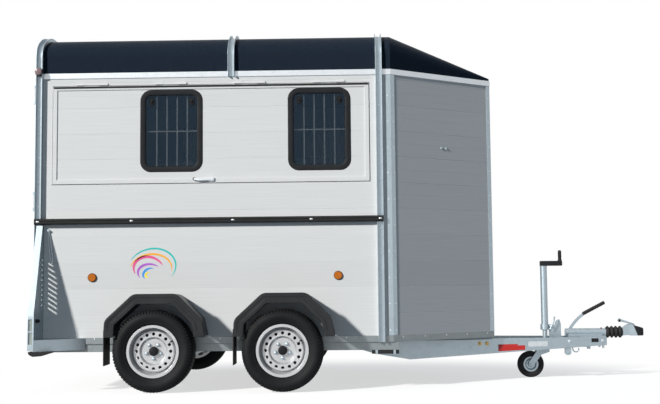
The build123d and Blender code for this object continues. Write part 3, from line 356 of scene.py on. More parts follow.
def soften(node, width, mat=None, segments=2):
    """A node's own form with rounded edges."""
    bm = node_mesh(node)
    round_edges(bm, width * MM, segments)
    return piece(f"{node}_finish", bm, mat or SLOTS[node], BODIES[node], [node])


def box_into(bm, low, high, width=0.0, segments=2):
    """A box between any two opposite corners, with rounded edges, in millimetres."""
    made = bmesh.ops.create_cube(bm, size=1)["verts"]
    low, high = (Vector(map(pick, low, high)) * MM for pick in (min, max))
    for v in made:
        v.co = Vector([low[i] + (v.co[i] + 0.5) * (high[i] - low[i]) for i in range(3)])
    if width:
        edges = list({e for v in made for e in v.link_edges})
        bmesh.ops.bevel(bm, geom=edges, offset=width * MM, segments=segments, profile=0.6, affect="EDGES")


def frame_at(origin, direction):
    """Matrix in metres that takes Z to the given direction at origin, which is in millimetres."""
    turn = Vector(direction).to_track_quat("Z", "Y").to_matrix().to_4x4()
    return Matrix.Translation(Vector(origin) * MM) @ turn


def skin_into(bm, rings):
    """Faces between rings of points that follow one another; a ring of one point is a tip."""
    count = max(map(len, rings))
    for one, two in zip(rings, rings[1:]):
        for i in range(count):
            j = (i + 1) % count
            corners = one[i % len(one)], one[j % len(one)], two[j % len(two)], two[i % len(two)]
            unique = list(dict.fromkeys(corners))
            if len(unique) > 2:
                bm.faces.new(unique)


def lathe_into(bm, profile, at, direction, steps=32, squash=1.0):
    """Turns (radius, height) points in millimetres round a direction from at; radius 0 is a tip."""
    matrix = frame_at(at, direction) @ Matrix.Diagonal((squash, 1, 1, 1))
    rings = []
    for radius, height in profile:
        turns = [2 * pi * i / steps for i in range(steps if radius else 1)]
        rings.append([
            bm.verts.new(matrix @ (Vector((radius * cos(t), radius * sin(t), height)) * MM))
            for t in turns
        ])
    skin_into(bm, rings)


def upright(u, v, w):
    """Places an outline of (x, z) points, swept along Y."""
    return u, w, v


def prism_into(bm, outline, start, end, place, width=0.0):
    """A solid from an outline, swept between two depths; place turns (u, v, depth) into millimetres."""
    rows = [[bm.verts.new(Vector(place(u, v, w)) * MM) for u, v in outline] for w in (start, end)]
    faces = [bm.faces.new(rows[0]), bm.faces.new(rows[1][::-1])]
    count = len(outline)
    for i in range(count):
        j = (i + 1) % count
        faces.append(bm.faces.new((rows[0][j], rows[0][i], rows[1][i], rows[1][j])))
    if width:
        edges = list({e for f in faces for e in f.edges})
        bmesh.ops.bevel(bm, geom=edges, offset=width * MM, segments=2, profile=0.6, affect="EDGES")


def tube_into(bm, path, radius, sides=12, closed=False):
    """A round bar along a path, in millimetres."""
    points = [Vector(p) * MM for p in path]
    count = len(points)
    rings = []
    normal = None
    for i, point in enumerate(points):
        before = points[i - 1] if i or closed else point
        after = points[(i + 1) % count] if i + 1 < count or closed else point
        along = (after - before).normalized()
        if normal is None:
            normal = along.orthogonal().normalized()
        normal = (normal - along * normal.dot(along)).normalized()
        across = along.cross(normal)
        turns = [2 * pi * k / sides for k in range(sides)]
        rings.append([
            bm.verts.new(point + radius * MM * (normal * cos(t) + across * sin(t))) for t in turns
        ])
    skin_into(bm, rings + rings[:1] if closed else rings)
    if not closed:
        bm.faces.new(rings[0][::-1])
        bm.faces.new(rings[-1])


def arc(centre, radius, start, end, steps):
    """Points on an arc in a plane, angles in degrees."""
    turns = [radians(start + (end - start) * i / steps) for i in range(steps + 1)]
    return [(centre[0] + radius * cos(t), centre[1] + radius * sin(t)) for t in turns]


def smooth_path(points, steps=6):
    """Catmull-Rom curve through points given in millimetres."""
    pts = [Vector(p) for p in points]
    pts = [2 * pts[0] - pts[1], *pts, 2 * pts[-1] - pts[-2]]
    out = []
    for a, b, c, d in zip(pts, pts[1:], pts[2:], pts[3:]):
        for k in range(steps):
            t = k / steps
            out.append(0.5 * (2 * b + (c - a) * t + (2 * a - 5 * b + 4 * c - d) * t * t
                              + (3 * b - a - 3 * c + d) * t**3))
    out.append(pts[-2])
    return out


def rounded_rectangle(width, height, corner, steps=8):
    points = []
    for sx, sy, start in ((1, 1, 0), (-1, 1, 90), (-1, -1, 180), (1, -1, 270)):
        centre = sx * (width / 2 - corner), sy * (height / 2 - corner)
        points += arc(centre, corner, start, start + 90, steps)
    return points


def dome_head(radius, high):
    """Profile of a low round rivet or bolt head with its rim."""
    shares = ((1, 0), (1, 0.3), (0.86, 0.62), (0.55, 0.9), (0, 1))
    return [(radius * out, high * up) for out, up in shares]


def heads_into(bm, spots, direction, radius, high):
    for spot in spots:
        lathe_into(bm, dome_head(radius, high), spot, direction, 12)


def hex_bolt_into(bm, at, direction, radius, high, washer=1.45):
    """A washer and a six-sided head."""
    wide = radius * washer
    lathe_into(bm, [(wide, 0), (wide, 1.6), (wide * 0.93, 2), (0, 2)], at, direction, 24)
    head = [(radius, 2), (radius, high * 0.85), (radius * 0.88, high), (0, high)]
    lathe_into(bm, head, at, direction, 6)


def beam_point(along, out, z, side=RIGHT):
    """Millimetres on a drawbar beam's web: back along it from its front end, and out from its face."""
    return (
        TIP - 325 - along * cos(BEAM_ANGLE) + out * sin(BEAM_ANGLE),
        side * (95 + along * sin(BEAM_ANGLE) + out * cos(BEAM_ANGLE)),
        z,
    )


def beam_normal(side=RIGHT):
    return (sin(BEAM_ANGLE), side * cos(BEAM_ANGLE), 0)


def on_beam(u, v, w):
    """Places an outline of (along, z) points on the right drawbar beam's web."""
    return beam_point(u, w, v)


def nose_point(side, along, out, z):
    """Millimetres on a slanted nose panel: distance along it from the corner, and out from its face."""
    return (
        CORNER + along * cos(NOSE_ANGLE) + out * sin(NOSE_ANGLE),
        side * (HALF - along * sin(NOSE_ANGLE) + out * cos(NOSE_ANGLE)),
        z,
    )


def nose_normal(side):
    return (sin(NOSE_ANGLE), side * cos(NOSE_ANGLE), 0)


# Planked panels
PLANK_PITCH = 200
PLANK_START = 372
PLANK_LINES = 30
JOINT = (1.6, 1.4)
MIDLINE = (0.9, 0.6)


def plank_heights(low, high):
    """(height, half width, depth) of each joint and each fainter midline between two heights."""
    places = [PLANK_START + i * PLANK_PITCH / 2 for i in range(PLANK_LINES)]
    return [(z, *(MIDLINE if i % 2 else JOINT)) for i, z in enumerate(places) if low < z < high]


def planks(node, edge, flat):
    """A panel with its plank joints cut in as shallow grooves; flat says which points may move."""
    bm = node_mesh(node)
    if edge:
        round_edges(bm, edge * MM)
    low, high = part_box(node)
    for z, half, deep in plank_heights(low.z / MM + 12, high.z / MM - 12):
        for height in (z - half, z + half, z):
            cut(bm, (0, 0, height * MM), (0, 0, 1), dist=1e-6)
        moves = []
        for v in bm.verts:
            if abs(v.co.z - z * MM) > 2e-6 or (flat and not flat(v.co)):
                continue
            out = Vector((0, 0, 0))
            for face in v.link_faces:
                if abs(face.normal.z) < 0.2 and face.normal.dot(out) < 0.99:
                    out = face.normal.copy()
            moves.append((v, out * deep * MM))
        for v, move in moves:
            v.co -= move
    piece(f"{node}_planks", bm, "panel", BODIES[node], [node], sharp=0, weighted=False)


# Panels
def make_panels():
    """The planked panels: (node, width of its rounded edges, which points the joints may move)."""
    def upper(p):
        return abs(p.y) / MM < HALF + 0.5

    for node, edge, flat in (
        ("walls_lower", 0, None),
        ("wall_right_upper", 0, upper),
        ("wall_left_upper", 0, upper),
        ("side_flap", 0.8, lambda p: -HALF - 0.5 < p.y / MM < -HALF + 2),
        ("nose_panels", 0, None),
        ("nose_front", 0, None),
        ("tack_door", 1.2, None),
        ("ramp", 1.5, lambda p: p.z / MM > 390),
        ("rear_door_right", 1.2, None),
        ("rear_door_left", 1.2, None),
    ):
        planks(node, edge, flat)


def make_plain_finishes():
    """Parts that only need rounded edges: (node, width)."""
    for node, width in (
        ("floor", 1), ("hoop_rear", 1.2), ("hoop_middle", 1.2), ("hoop_front", 1.2), ("rear_frame", 1.6),
        ("eaves_rails", 1.5), ("corner_trims", 0.8), ("wing_plates", 1), ("axle_rear", 2),
        ("axle_front", 2), ("drawbar_beams", 2.5), ("overrun_housing", 2), ("jockey_outer_tube", 1),
        ("jockey_leg", 1.5), ("tack_bulkhead", 1), ("mud_flaps", 2), ("rear_gable", 1), ("brake_rod", 1),
    ):
        soften(node, width)
    for node, width in (("chassis", 2), ("sill_rail", 2.5)):
        soften(node, width, "dull_steel")
    for node in ("window_bars_right", "window_bars_left"):
        soften(node, 1, "aluminium")


def make_mudguards():
    """Moulded arches with a groove pressed into the outer face and a rolled bead round its lips."""
    bm, beads = node_mesh("mudguards"), bmesh.new()
    # The height of the cut that squares the lower corners
    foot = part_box("mudguards")[0].z + 16 * MM

    def outer_faces():
        return [
            f for f in bm.faces if abs(f.normal.y) > 0.99 and f.calc_center_median().z > foot
            and abs(f.calc_center_median().y) / MM > GUARD_OUTER - 0.5
        ]

    for face in outer_faces():
        side = 1 if face.normal.y > 0 else -1
        path = [(v.co.x / MM, side * (GUARD_OUTER - 6.5), v.co.z / MM) for v in face.verts]
        tube_into(beads, path, 6.4, 10, closed=True)
    cut(bm, (0, 0, foot), (0, 0, 1), dist=1e-6)
    faces = outer_faces()
    for thick, deep in ((19, 0), (7, -6)):
        bmesh.ops.inset_region(bm, faces=faces, thickness=thick * MM, depth=deep * MM, use_even_offset=True)
    round_edges(bm, 2.5 * MM, above=24)
    piece("mudguards_finish", bm, "guard_plastic", nodes=["mudguards"])
    piece("mudguard_beads", beads, "guard_plastic", sharp=70, weighted=False)


# Fastenings
def make_rivets():
    """Round heads in the hoop posts, the corner trims, the nose's front edge, the eaves and the sill."""
    bm = bmesh.new()
    belt_low, belt_high = (corner.z for corner in mm_box("belt_strips"))
    posts = [sum(corner.x for corner in mm_box(node)) / 2 for node in ("hoop_rear", "hoop_front")]
    trim = range(int(SILL_TOP) + 40, int(RAIL_LOW), 200)
    panel = hypot(NOSE - CORNER, HALF - NOSE_HALF)
    eaves, sill = RAIL_LOW + 12, SILL_TOP - 12
    for side in (RIGHT, LEFT):
        out, slant = (0, side, 0), nose_normal(side)
        # Down the valleys of the hoop posts
        for x in posts:
            heights = [z for z in range(460, 2400, 190) if not belt_low < z < belt_high]
            heads_into(bm, [(x, side * (HALF + 6.2), z) for z in heights], out, 5, 2.6)
        # Columns on the corner trim and on the nose's front edge
        for spots, direction in (
            ([(CORNER - 24, side * (HALF + 3), z) for z in trim], out),
            ([nose_point(side, 24, 3, z) for z in trim], slant),
            ([nose_point(side, panel - 18, 3, z + 60) for z in trim], slant),
            ([(NOSE + 3, side * (NOSE_HALF - 18), z + 60) for z in trim], (1, 0, 0)),
        ):
            heads_into(bm, spots, direction, 4.4, 2.2)
        # Rows along the eaves and the sill
        heads_into(bm, [nose_point(side, 90 + 215 * i, 6, eaves) for i in range(5)], slant, 4, 2)
        heads_into(bm, [(REAR + 180 + 420 * i, side * (HALF + 6), eaves) for i in range(6)], out, 4, 2)
        heads_into(bm, [(REAR + 150 + 320 * i, side * (HALF + 2), sill) for i in range(8)], out, 4.6, 2.2)
        heads_into(bm, [nose_point(side, 90 + 210 * i, 2, sill - 2) for i in range(5)], slant, 4.6, 2.2)
    piece("rivets", bm, "aluminium")


def make_belt():
    """Rubber rubbing strips with a rounded face and their bolts."""
    low, high = mm_box("belt_strips")
    deep, z0, z1 = high.y, low.z, high.z
    bm, bolts = meshes(2)
    outline = [
        (HALF, z0), (deep - 12, z0), *arc((deep - 12, z0 + 12), 12, -90, 0, 5)[1:], (deep, z0 + 16),
        (deep - 5, z0 + 19), (deep - 5, z1 - 19), (deep, z1 - 16),
        *arc((deep - 12, z1 - 12), 12, 0, 90, 5), (HALF, z1),
    ]
    places = (low.x + 26, low.x + 750, low.x + 1530, low.x + 2130, mm_box("hoop_front")[0].x + 24)
    for side in (RIGHT, LEFT):
        prism_into(bm, outline, low.x, high.x, lambda u, v, w: (w, side * u, v))
        for x in places:
            at = (x, side * (deep - 5), (z0 + z1) / 2)
            lathe_into(bolts, dome_head(8, 4.5), at, (0, side, 0), 20)
            lathe_into(bolts, [(12, 0), (12, 1.4), (0, 1.4)], at, (0, side, 0), 24)
    piece("belt_rubber", bm, "black_rubber", nodes=["belt_strips"], sharp=30)
    piece("belt_bolts", bolts, "aluminium")


# Windows
def make_windows():
    """Crowned seals round the panes, and two oval catches on each window."""
    catch = [(33, 0), (33, 4), (30, 7), (26, 7), (24, 4), (13, 4), (12, 11), (9, 13), (0, 13)]
    for side, hand in HANDS:
        node = f"window_frames_{hand}"
        low, high = mm_box(node)
        panes = mm_box(f"window_panes_{hand}")
        middle = (low.z + high.z) / 2
        border = (high.z - low.z - (panes[1].z - panes[0].z)) / 2
        face = high.y if side == LEFT else -low.y
        frames, catches = meshes(2)
        for x in (low.x + WINDOW_WIDTH / 2, high.x - WINDOW_WIDTH / 2):
            sweep_frame(frames, x, middle, high.z - low.z, border, side, face)
            for end in (-1, 1):
                at = (x + end * (WINDOW_WIDTH / 2 - border - 42), side * (face - 7), high.z - border - 46)
                lathe_into(catches, catch, at, (0, side, 0), squash=0.62)
        piece(f"window_seals_{hand}", frames, "black_plastic", BODIES[node], [node], sharp=50)
        piece(f"window_catches_{hand}", catches, "black_plastic", BODIES[node])


def sweep_frame(bm, x, z, height, border, side, face):
    """A rounded rectangular frame with a crowned outer face and a lip over the pane."""
    inner = HALF - WALL
    # (in from the outer edge, out from the centre line) round the section
    section = [
        (0, face - 5), (2, face - 2), (7, face - 0.2), (border * 0.5, face), (border - 12, face - 0.4),
        (border - 5, face - 2.5), (border - 1, face - 6), (border, face - 10), (border, inner + 1),
        (border - 2, inner), (border / 2 + 1, inner), (border / 2, inner + 1), (border / 2, face - 6.2),
        (0, face - 6.2),
    ]
    rings = []
    for inset, out in section:
        ring = rounded_rectangle(WINDOW_WIDTH - 2 * inset, height - 2 * inset, WINDOW_CORNER - inset, 10)
        rings.append([bm.verts.new(Vector((x + u, side * out, z + v)) * MM) for u, v in ring])
    skin_into(bm, rings + rings[:1])


# Wheels
TYRE_STEPS = 128
TREAD_COUNT = 76
TREAD_SHARE = 0.66
BOLT_CIRCLE = 56


def tyre_into(bm, centre, side):
    """A road tyre: crowned carcass, ribs between grooves, and shoulder blocks that wrap the edge."""
    matrix = frame_at(centre, (0, side, 0))
    wall = [
        (194, 60), (198, 68), (204, 73), (212, 77), (216, 80), (221, 80.5), (225, 83), (236, 89.5),
        (248, 93.2), (258, 93.8), (268, 92), (277, 88), (281, 85), (286, 79), (291, 72), (296, 64),
        (299, 52), (300, 40),
    ]
    profile = wall + [(r, -y) for r, y in reversed(wall)] + [(183, -56), (182, 0), (183, 56)]
    lathe_into(bm, profile + profile[:1], centre, (0, side, 0), TYRE_STEPS)
    # Ribs: (from, to) across the tread
    for start, end in ((-50, -30), (-25, -8), (-3, 3), (8, 25), (30, 50)):
        top = 306.6 - 0.0012 * max(abs(start), abs(end)) ** 2
        profile = [(299, start), (top - 0.8, start + 0.4), (top, start + 1.6)]
        profile += [(top, end - 1.6), (top - 0.8, end - 0.4), (299, end)]
        lathe_into(bm, profile, centre, (0, side, 0), TYRE_STEPS)
    block = [(281, 86.5), (288, 85.2), (295, 81), (300.5, 74), (303.4, 66), (304.6, 56)]
    floor = [(279, 84), (284, 78), (289, 71), (294, 63), (297, 58), (298, 54)]
    pitch = 2 * pi / TREAD_COUNT
    for flip in (1, -1):
        for k in range(TREAD_COUNT):
            start = (k + (0.5 if flip < 0 else 0)) * pitch
            rows = []
            for angle in (start, start + pitch * TREAD_SHARE):
                turn = Vector((cos(angle), sin(angle), 0))
                rows.append([
                    [bm.verts.new(matrix @ ((turn * r + Vector((0, 0, flip * y))) * MM)) for r, y in line]
                    for line in (block, floor)
                ])
            (top, low), (next_top, next_low) = rows
            for i in range(len(block) - 1):
                bm.faces.new((top[i], top[i + 1], next_top[i + 1], next_top[i]))
                for upper, lower in rows:
                    bm.faces.new((upper[i], upper[i + 1], lower[i + 1], lower[i]))
            for i in (0, -1):
                bm.faces.new((top[i], next_top[i], next_low[i], low[i]))


def make_wheels():
    """Tyres, steel rims, hub caps, bolt caps, the drums behind the rims, and valves."""
    cap = [(34.5, 0), (34.5, 22), (33, 27), (27, 30), (25, 31.5), (12, 33), (0, 33.4)]
    bolt = [(9.4, 11.8), (8.6, 14.5), (6, 16), (0, 16.4)]
    drum = [(97, -48), (132, -48), (132, -40), (126, -36), (126, -2), (138, 2), (138, 8), (97, 10)]
    valve = [(6, 0), (5, 8), (3.4, 12), (3.4, 26), (4.2, 27), (4.2, 38), (0, 38.5)]
    lean = Vector((cos(radians(28)), 0, sin(radians(28))))
    for name, side in [(f"{end}_{hand}", side) for end in ("rear", "front") for side, hand in HANDS]:
        body, out = f"wheel_{name}", Vector((0, side, 0))
        centre = sum(mm_box(f"tyre_{name}"), Vector()) / 2
        face = centre + out * 18
        tyre, caps, bolts, drums, valves = meshes(5)
        tyre_into(tyre, centre, side)
        piece(f"{body}_tyre", tyre, "tyre", body, [f"tyre_{name}"], sharp=32)
        soften(f"rim_{name}", 0.9)
        lathe_into(caps, cap, face, out, 40)
        piece(f"{body}_hub_cap", caps, "black_plastic", body)
        for k in range(5):
            angle = radians(side * 90 + 72 * k)
            at = face + Vector((cos(angle), 0, sin(angle))) * BOLT_CIRCLE
            lathe_into(bolts, [(14, 0), (14, 2.5), (11, 5), (9, 5)], at, out, 24)
            lathe_into(bolts, bolt, at, out, 24)
        piece(f"{body}_bolts", bolts, "galvanised", body)
        lathe_into(drums, drum + drum[:1], centre, out, 64)
        piece(f"{body}_drum", drums, "cast_iron", body)
        lathe_into(valves, valve, centre + lean * 158 + out * 26, out - lean * 0.35, 14)
        piece(f"{body}_valve", valves, "black_rubber", body)


# Drawbar fittings
def make_bellows():
    """Four rounded folds, narrower at their valleys."""
    low, high = mm_box("bellows")
    radius, length = (high.z - low.z) / 2, high.x - low.x
    count, steps = 4, 12
    profile = [(0, 0), (radius - 16, 0)]
    for i in range(count * steps):
        wave = 0.5 - 0.5 * cos(2 * pi * (i % steps) / steps)
        profile.append((radius - 14 + 14 * wave**0.8, i / steps * length / count))
    profile += [(radius - 14, length), (0, length)]
    bm = bmesh.new()
    lathe_into(bm, profile, (low.x, 0, (low.z + high.z) / 2), (1, 0, 0), 56)
    piece("bellows_folds", bm, "black_rubber", nodes=["bellows"], sharp=60)


def make_handbrake():
    """A flat bar with a ribbed grip on its upper part."""
    low, high = mm_box("handbrake_lever")
    y = (low.y + high.y) / 2
    bm, grip = meshes(2)
    bend = ((14, low.z + 6), (22, 400), (78, 472), (150, 533))
    spine = smooth_path([(low.x + u, y, v) for u, v in bend])
    flat_bar(bm, spine, (0, 1, 0), 4, 12)
    piece("handbrake_bar", bm, "galvanised", nodes=["handbrake_lever"])
    along = Vector((high.x - 12, y, high.z - 14)) - spine[-1]
    # (radius, share of the grip's length); the grip reaches back over the bar
    radii = [(0, -0.12), (10, -0.12), (14, -0.1), (15.5, 0.02), (14.5, 0.05), (15.5, 0.09)]
    count = 9
    for i in range(count):
        base = 0.12 + 0.8 * i / count
        radii += [(14.2, base), (15.6, base + 0.03), (15.6, base + 0.055), (14.2, base + 0.075)]
    radii += [(15.5, 0.95), (14, 0.985), (9, 1), (0, 1)]
    lathe_into(grip, [(r, t * along.length) for r, t in radii], spine[-1], along, 28)
    piece("handbrake_grip", grip, "black_rubber", sharp=50)


def flat_bar(bm, path, across, half_thick, half_wide):
    """A flat bar along a path, with a rectangular section."""
    across = Vector(across)
    rows = []
    for i, point in enumerate(path):
        ahead = path[min(i + 1, len(path) - 1)] - path[max(i - 1, 0)]
        up = ahead.normalized().cross(across)
        rows.append([
            bm.verts.new((point + across * (a * half_thick) + up * (b * half_wide)) * MM)
            for a, b in ((-1, -1), (1, -1), (1, 1), (-1, 1))
        ])
    skin_into(bm, rows)
    bm.faces.new(rows[0][::-1])
    bm.faces.new(rows[-1])
    bmesh.ops.recalc_face_normals(bm, faces=bm.faces)
    round_edges(bm, 1.2 * MM, above=40)


def make_jockey():
    """The crank with its grip, and the jockey wheel with its rubber tyre and pressed rim."""
    low, high = mm_box("jockey_crank")
    arm, grip, tyre, rim = meshes(4)
    box_into(arm, (low.x - 8, -21, low.z), (high.x, 21, low.z + 42), 8, 4)
    piece("jockey_crank_arm", arm, "black_plastic", nodes=["jockey_crank"])
    rise = high.z - low.z - 38
    profile = [
        (0, 0), (17.5, 0), (17.5, 8), (15, 16), (14, 26), (15, rise * 0.5), (14.6, rise - 14),
        (12.5, rise - 4), (8, rise), (0, rise),
    ]
    lathe_into(grip, profile, (high.x - 18, 0, low.z + 38), (0, 0, 1), 28)
    piece("jockey_crank_grip", grip, "black_plastic", sharp=50)
    low, high = mm_box("jockey_tyre")
    centre, radius, half = (low + high) / 2, (high.z - low.z) / 2, (high.y - low.y) / 2
    inner = 64
    outline = [
        (inner, half - 8), (inner + 6, half - 3), (inner + 14, half - 0.5), (inner + 24, half),
        (radius - 12, half - 4), (radius - 4, half - 12), (radius - 0.6, half - 18), (radius, 6),
        (radius - 1.5, 4), (radius - 1.5, 0),
    ]
    profile = outline + [(r, -h) for r, h in reversed(outline[:-1])]
    lathe_into(tyre, profile + profile[:1], centre, (0, -1, 0), 72)
    piece("jockey_wheel_tyre", tyre, "black_rubber", "jockey_wheel", ["jockey_tyre"], sharp=45)
    dish = [
        (9, 30), (19, 30), (20, 28), (20, 12), (25, 8), (38, 8), (42, 12), (46, 20), (52, 23),
        (inner - 2, 24), (inner - 0.5, 21),
    ]
    loop = dish + [(r, -h) for r, h in reversed(dish)]
    lathe_into(rim, loop + loop[:1], centre, (0, -1, 0), 64)
    for sign in (1, -1):
        cap = [(0, 0), (10, 0), (10, 5), (7, 7), (0, 7)]
        lathe_into(rim, cap, (centre.x, sign * 41, centre.z), (0, sign, 0), 24)
    piece("jockey_wheel_rim", rim, "galvanised", "jockey_wheel", ["jockey_rim"], sharp=35)


def make_coupling():
    """The cast head, with the rubber nose in front of it, and its handle's knob."""
    split = Vector((TIP - 72, 0, 385)) * MM
    for name, mat, keep in (("coupling_cast", "galvanised", 1), ("coupling_nose", "black_plastic", -1)):
        bm = node_mesh("coupling_head")
        cut(bm, split, (keep, 0, 0.4 * keep), clear_outer=True)
        bmesh.ops.holes_fill(bm, edges=[e for e in bm.edges if e.is_boundary])
        round_edges(bm, 4 * MM, 3)
        piece(name, bm, mat, nodes=["coupling_head"])
    soften("coupling_handle", 3)
    knob = bmesh.new()
    ball = [(0, -15), (9, -13), (14.5, -5), (14.5, 5), (9, 13), (0, 15)]
    lathe_into(knob, ball, (TIP - 194, 0, 468), (0.5, 0, 1), 24)
    piece("coupling_knob", knob, "black_plastic", sharp=60)


def make_lamps():
    """Lamp bodies with chambered lenses on their rear faces, the outline lamps and the reflectors."""
    soften("rear_lamps", 5, "lamp_clear", 3)
    lenses = {mat: bmesh.new() for mat in ("lamp_red", "reflector_amber", "lamp_clear", "lamp_outline")}
    collars, plugs, rings = meshes(3)
    low, high = mm_box("side_reflectors")
    for side in (RIGHT, LEFT):
        for low_z, high_z, mat in (
            (342, 396, "lamp_clear"), (400, 462, "lamp_red"), (466, 526, "lamp_red"),
            (530, 586, "reflector_amber"),
        ):
            box_into(lenses[mat], (REAR + 21.5, side * 1023, low_z), (REAR + 27, side * 1123, high_z), 1.6)
        at, out = (REAR + 25, side * 930, 2459), (0, side, 0)
        dome = [(28.6, 0.4), (28.6, 20), (27, 24), (22, 27), (12, 29), (0, 29.6)]
        lathe_into(lenses["lamp_outline"], dome, at, out, 40)
        lathe_into(collars, [(28, 0.4), (32, 0.4), (32, 5), (30, 7), (28, 7), (28, 0.4)], at, out, 40)
        plug = [(0, 0), (16, 0), (16, 5), (13, 7), (13, 20), (8, 26), (0, 26)]
        lathe_into(plugs, plug, (REAR + 70, side * 1072, 540), (1, 0, 0), 24)
        ring = [(33, 0), (34, 1), (34, 5), (31.5, 8), (30.2, 8), (30.2, 0)]
        for x in (low.x + 30, high.x - 30):
            lathe_into(rings, ring, (x, side * (HALF + 0.3), (low.z + high.z) / 2), out, 48)
    for mat, bm in lenses.items():
        piece(f"lenses_{mat}", bm, mat)
    piece("outline_lamp_collars", collars, "black_plastic")
    piece("lamp_plugs", plugs, "black_plastic")
    soften("side_reflectors", 2)
    piece("reflector_rings", rings, "black_plastic")
    soften("nose_dome", 0.5)


def make_flap_handle():
    """A swan-neck lever on a shaped plate, with a knob at its end."""
    low, high = mm_box("flap_handle")
    y, z = low.y, (low.z + high.z) / 2
    bm, hub = meshes(2)
    plate = ((74, 13), (4, 15), (4, -6), (12, -15), (42, -15))
    prism_into(bm, [(high.x - u, z + v) for u, v in plate], high.y - 8, high.y, upright, 1.5)
    box_into(bm, (high.x - 58, high.y - 14, z - 11), (high.x - 10, high.y - 6, z + 12), 3.5, 3)
    lever = [(high.x - u, y + v, z + w) for u, v, w in ((34, 6, 2), (84, 4, -3), (130, 4, -3))]
    flat_bar(bm, smooth_path([*lever, (low.x + 8, y + 6, z + 4)], 5), (0, 1, 0), 3.4, 6)
    piece("flap_handle_lever", bm, "aluminium", "side_flap", ["flap_handle"])
    knob = [(0, 0), (9, 0), (11, 3), (11, 9), (8, 12), (0, 12)]
    lathe_into(hub, knob, (low.x + 10, high.y - 4, z + 4), (0, -1, 0), 28)
    piece("flap_handle_knob", hub, "black_plastic", "side_flap")


# Marks without words: ribbons of colour on the wall, a plain sticker and blank plates
RIBBONS = (
    # (colour, start angle, end angle, radius, width at the middle, height over the middle)
    ((0.80, 0.10, 0.30), 200, 20, 118, 26, 0),
    ((0.45, 0.12, 0.60), 215, 35, 84, 22, -18),
    ((0.05, 0.30, 0.75), 230, 60, 54, 20, -32),
    ((0.95, 0.45, 0.05), 175, -10, 150, 20, 8),
    ((0.02, 0.55, 0.50), 160, -30, 178, 16, 22),
    ((0.95, 0.75, 0.08), 250, 95, 30, 16, -44),
)


def make_marks():
    """Ribbons that narrow to points, then the sticker and two plates on the right drawbar beam."""
    middle_x, middle_z = REAR + 891, 918
    steps = 40
    for number, (colour, start, end, radius, widest, fall) in enumerate(RIBBONS):
        name = f"ribbon_{number + 1}"
        paint_material(name, colour, 0.42, coat=0.1)
        rows = []
        for i in range(steps + 1):
            t = i / steps
            angle = radians(start + (end - start) * t)
            sway = 1 + 0.12 * sin(5 * t + number)
            half = widest * sin(pi * t) ** 0.7 / 2 + 0.2
            for reach in (radius * sway - half, radius * sway + half):
                rise = fall + 0.82 * reach * sin(angle)
                rows.append((middle_x + reach * cos(angle), middle_z + rise))
        bm = bmesh.new()
        prism_into(bm, rows[::2] + rows[1::2][::-1], 0, 0.6, lambda u, v, w: (u, -(HALF + w), v))
        piece(name, bm, name, sharp=0, weighted=False)
    sticker, plate, rim, dark = meshes(4)
    outline = ((712, 243), (941, 235), (941, 291), (775, 291), (775, 280), (712, 280))
    prism_into(sticker, outline, 0, 0.7, on_beam)
    paint_material("sticker", (0.62, 0.02, 0.015), 0.4, coat=0.2)
    piece("beam_sticker", sticker, "sticker", sharp=0, weighted=False)
    prism_into(plate, ((517, 268), (683, 268), (683, 310), (517, 310)), 0, 1.2, on_beam, 0.5)
    border = [beam_point(u, 1.4, v) for u, v in ((523, 274), (677, 274), (677, 304), (523, 304))]
    tube_into(rim, border, 1.1, 6, closed=True)
    heads_into(rim, [beam_point(u, 1.2, 289) for u in (520.5, 679.5)], beam_normal(), 2.6, 1.4)
    piece("blank_plate", plate, "aluminium")
    piece("blank_plate_rim", rim, "aluminium", weighted=False)
    prism_into(dark, ((74, 294), (136, 294), (136, 325), (74, 325)), 0, 1, on_beam, 0.4)
    piece("beam_end_plate", dark, "black_plastic")


def make_beam_fittings():
    """The drawbar's bolts, brackets, hook and clamp lever, the overrun's pin, and studs on the nose."""
    bm, small, large, pin, studs = meshes(5)
    for side in (RIGHT, LEFT):
        out = beam_normal(side)
        for along in (1036, 1097):
            hex_bolt_into(large, beam_point(along, 0, 301, side), out, 12, 14)
        for along in (40, 330):
            hex_bolt_into(small, beam_point(along, 0, 306, side), out, 8, 11)
        hex_bolt_into(small, (TIP - 350, side * 68, 268), DOWN, 10, 26, 1.4)
    bracket = ((683, 252), (632, 252), (632, 206), (646, 192), (669, 192), (683, 206))
    for y in (-124, -148):
        prism_into(bm, [(TIP - u, v) for u, v in bracket], y - 3, y + 3, upright, 1)
    tube_into(bm, [(TIP - 657, -156, 212), (TIP - 657, -116, 212)], 7, 16)
    hook = ((612, 262), (612, 236), (600, 218), (578, 216), (564, 230), (566, 246))
    tube_into(bm, smooth_path([(TIP - u, -112, v) for u, v in hook]), 5)
    clamp_x = TIP - 770
    stem = [(0, 0), (11, 0), (11, 14), (8, 16), (8, 44), (0, 44)]
    lathe_into(bm, stem, (clamp_x, -4, 425), (0, -1, 0), 24)
    lever = ((-14, -44, 400), (0, -44, 426), (20, -47, 470), (24, -50, 506))
    tube_into(bm, smooth_path([(clamp_x + u, v, w) for u, v, w in lever]), 6, 14)
    lathe_into(pin, [(0, 0), (6, 0), (6, 7), (4, 9), (0, 9)], (TIP - 352, -12, 402), (0, -0.3, 1), 20)
    piece("beam_brackets", bm, "galvanised")
    piece("beam_bolts", small, "aluminium")
    piece("frame_bolts", large, "yellow_zinc")
    piece("overrun_pin", pin, "lamp_red")
    for along in (493, 540):
        lathe_into(studs, dome_head(9.5, 6), nose_point(RIGHT, along, 0, 1863), nose_normal(RIGHT), 24)
    piece("nose_studs", studs, "galvanised")


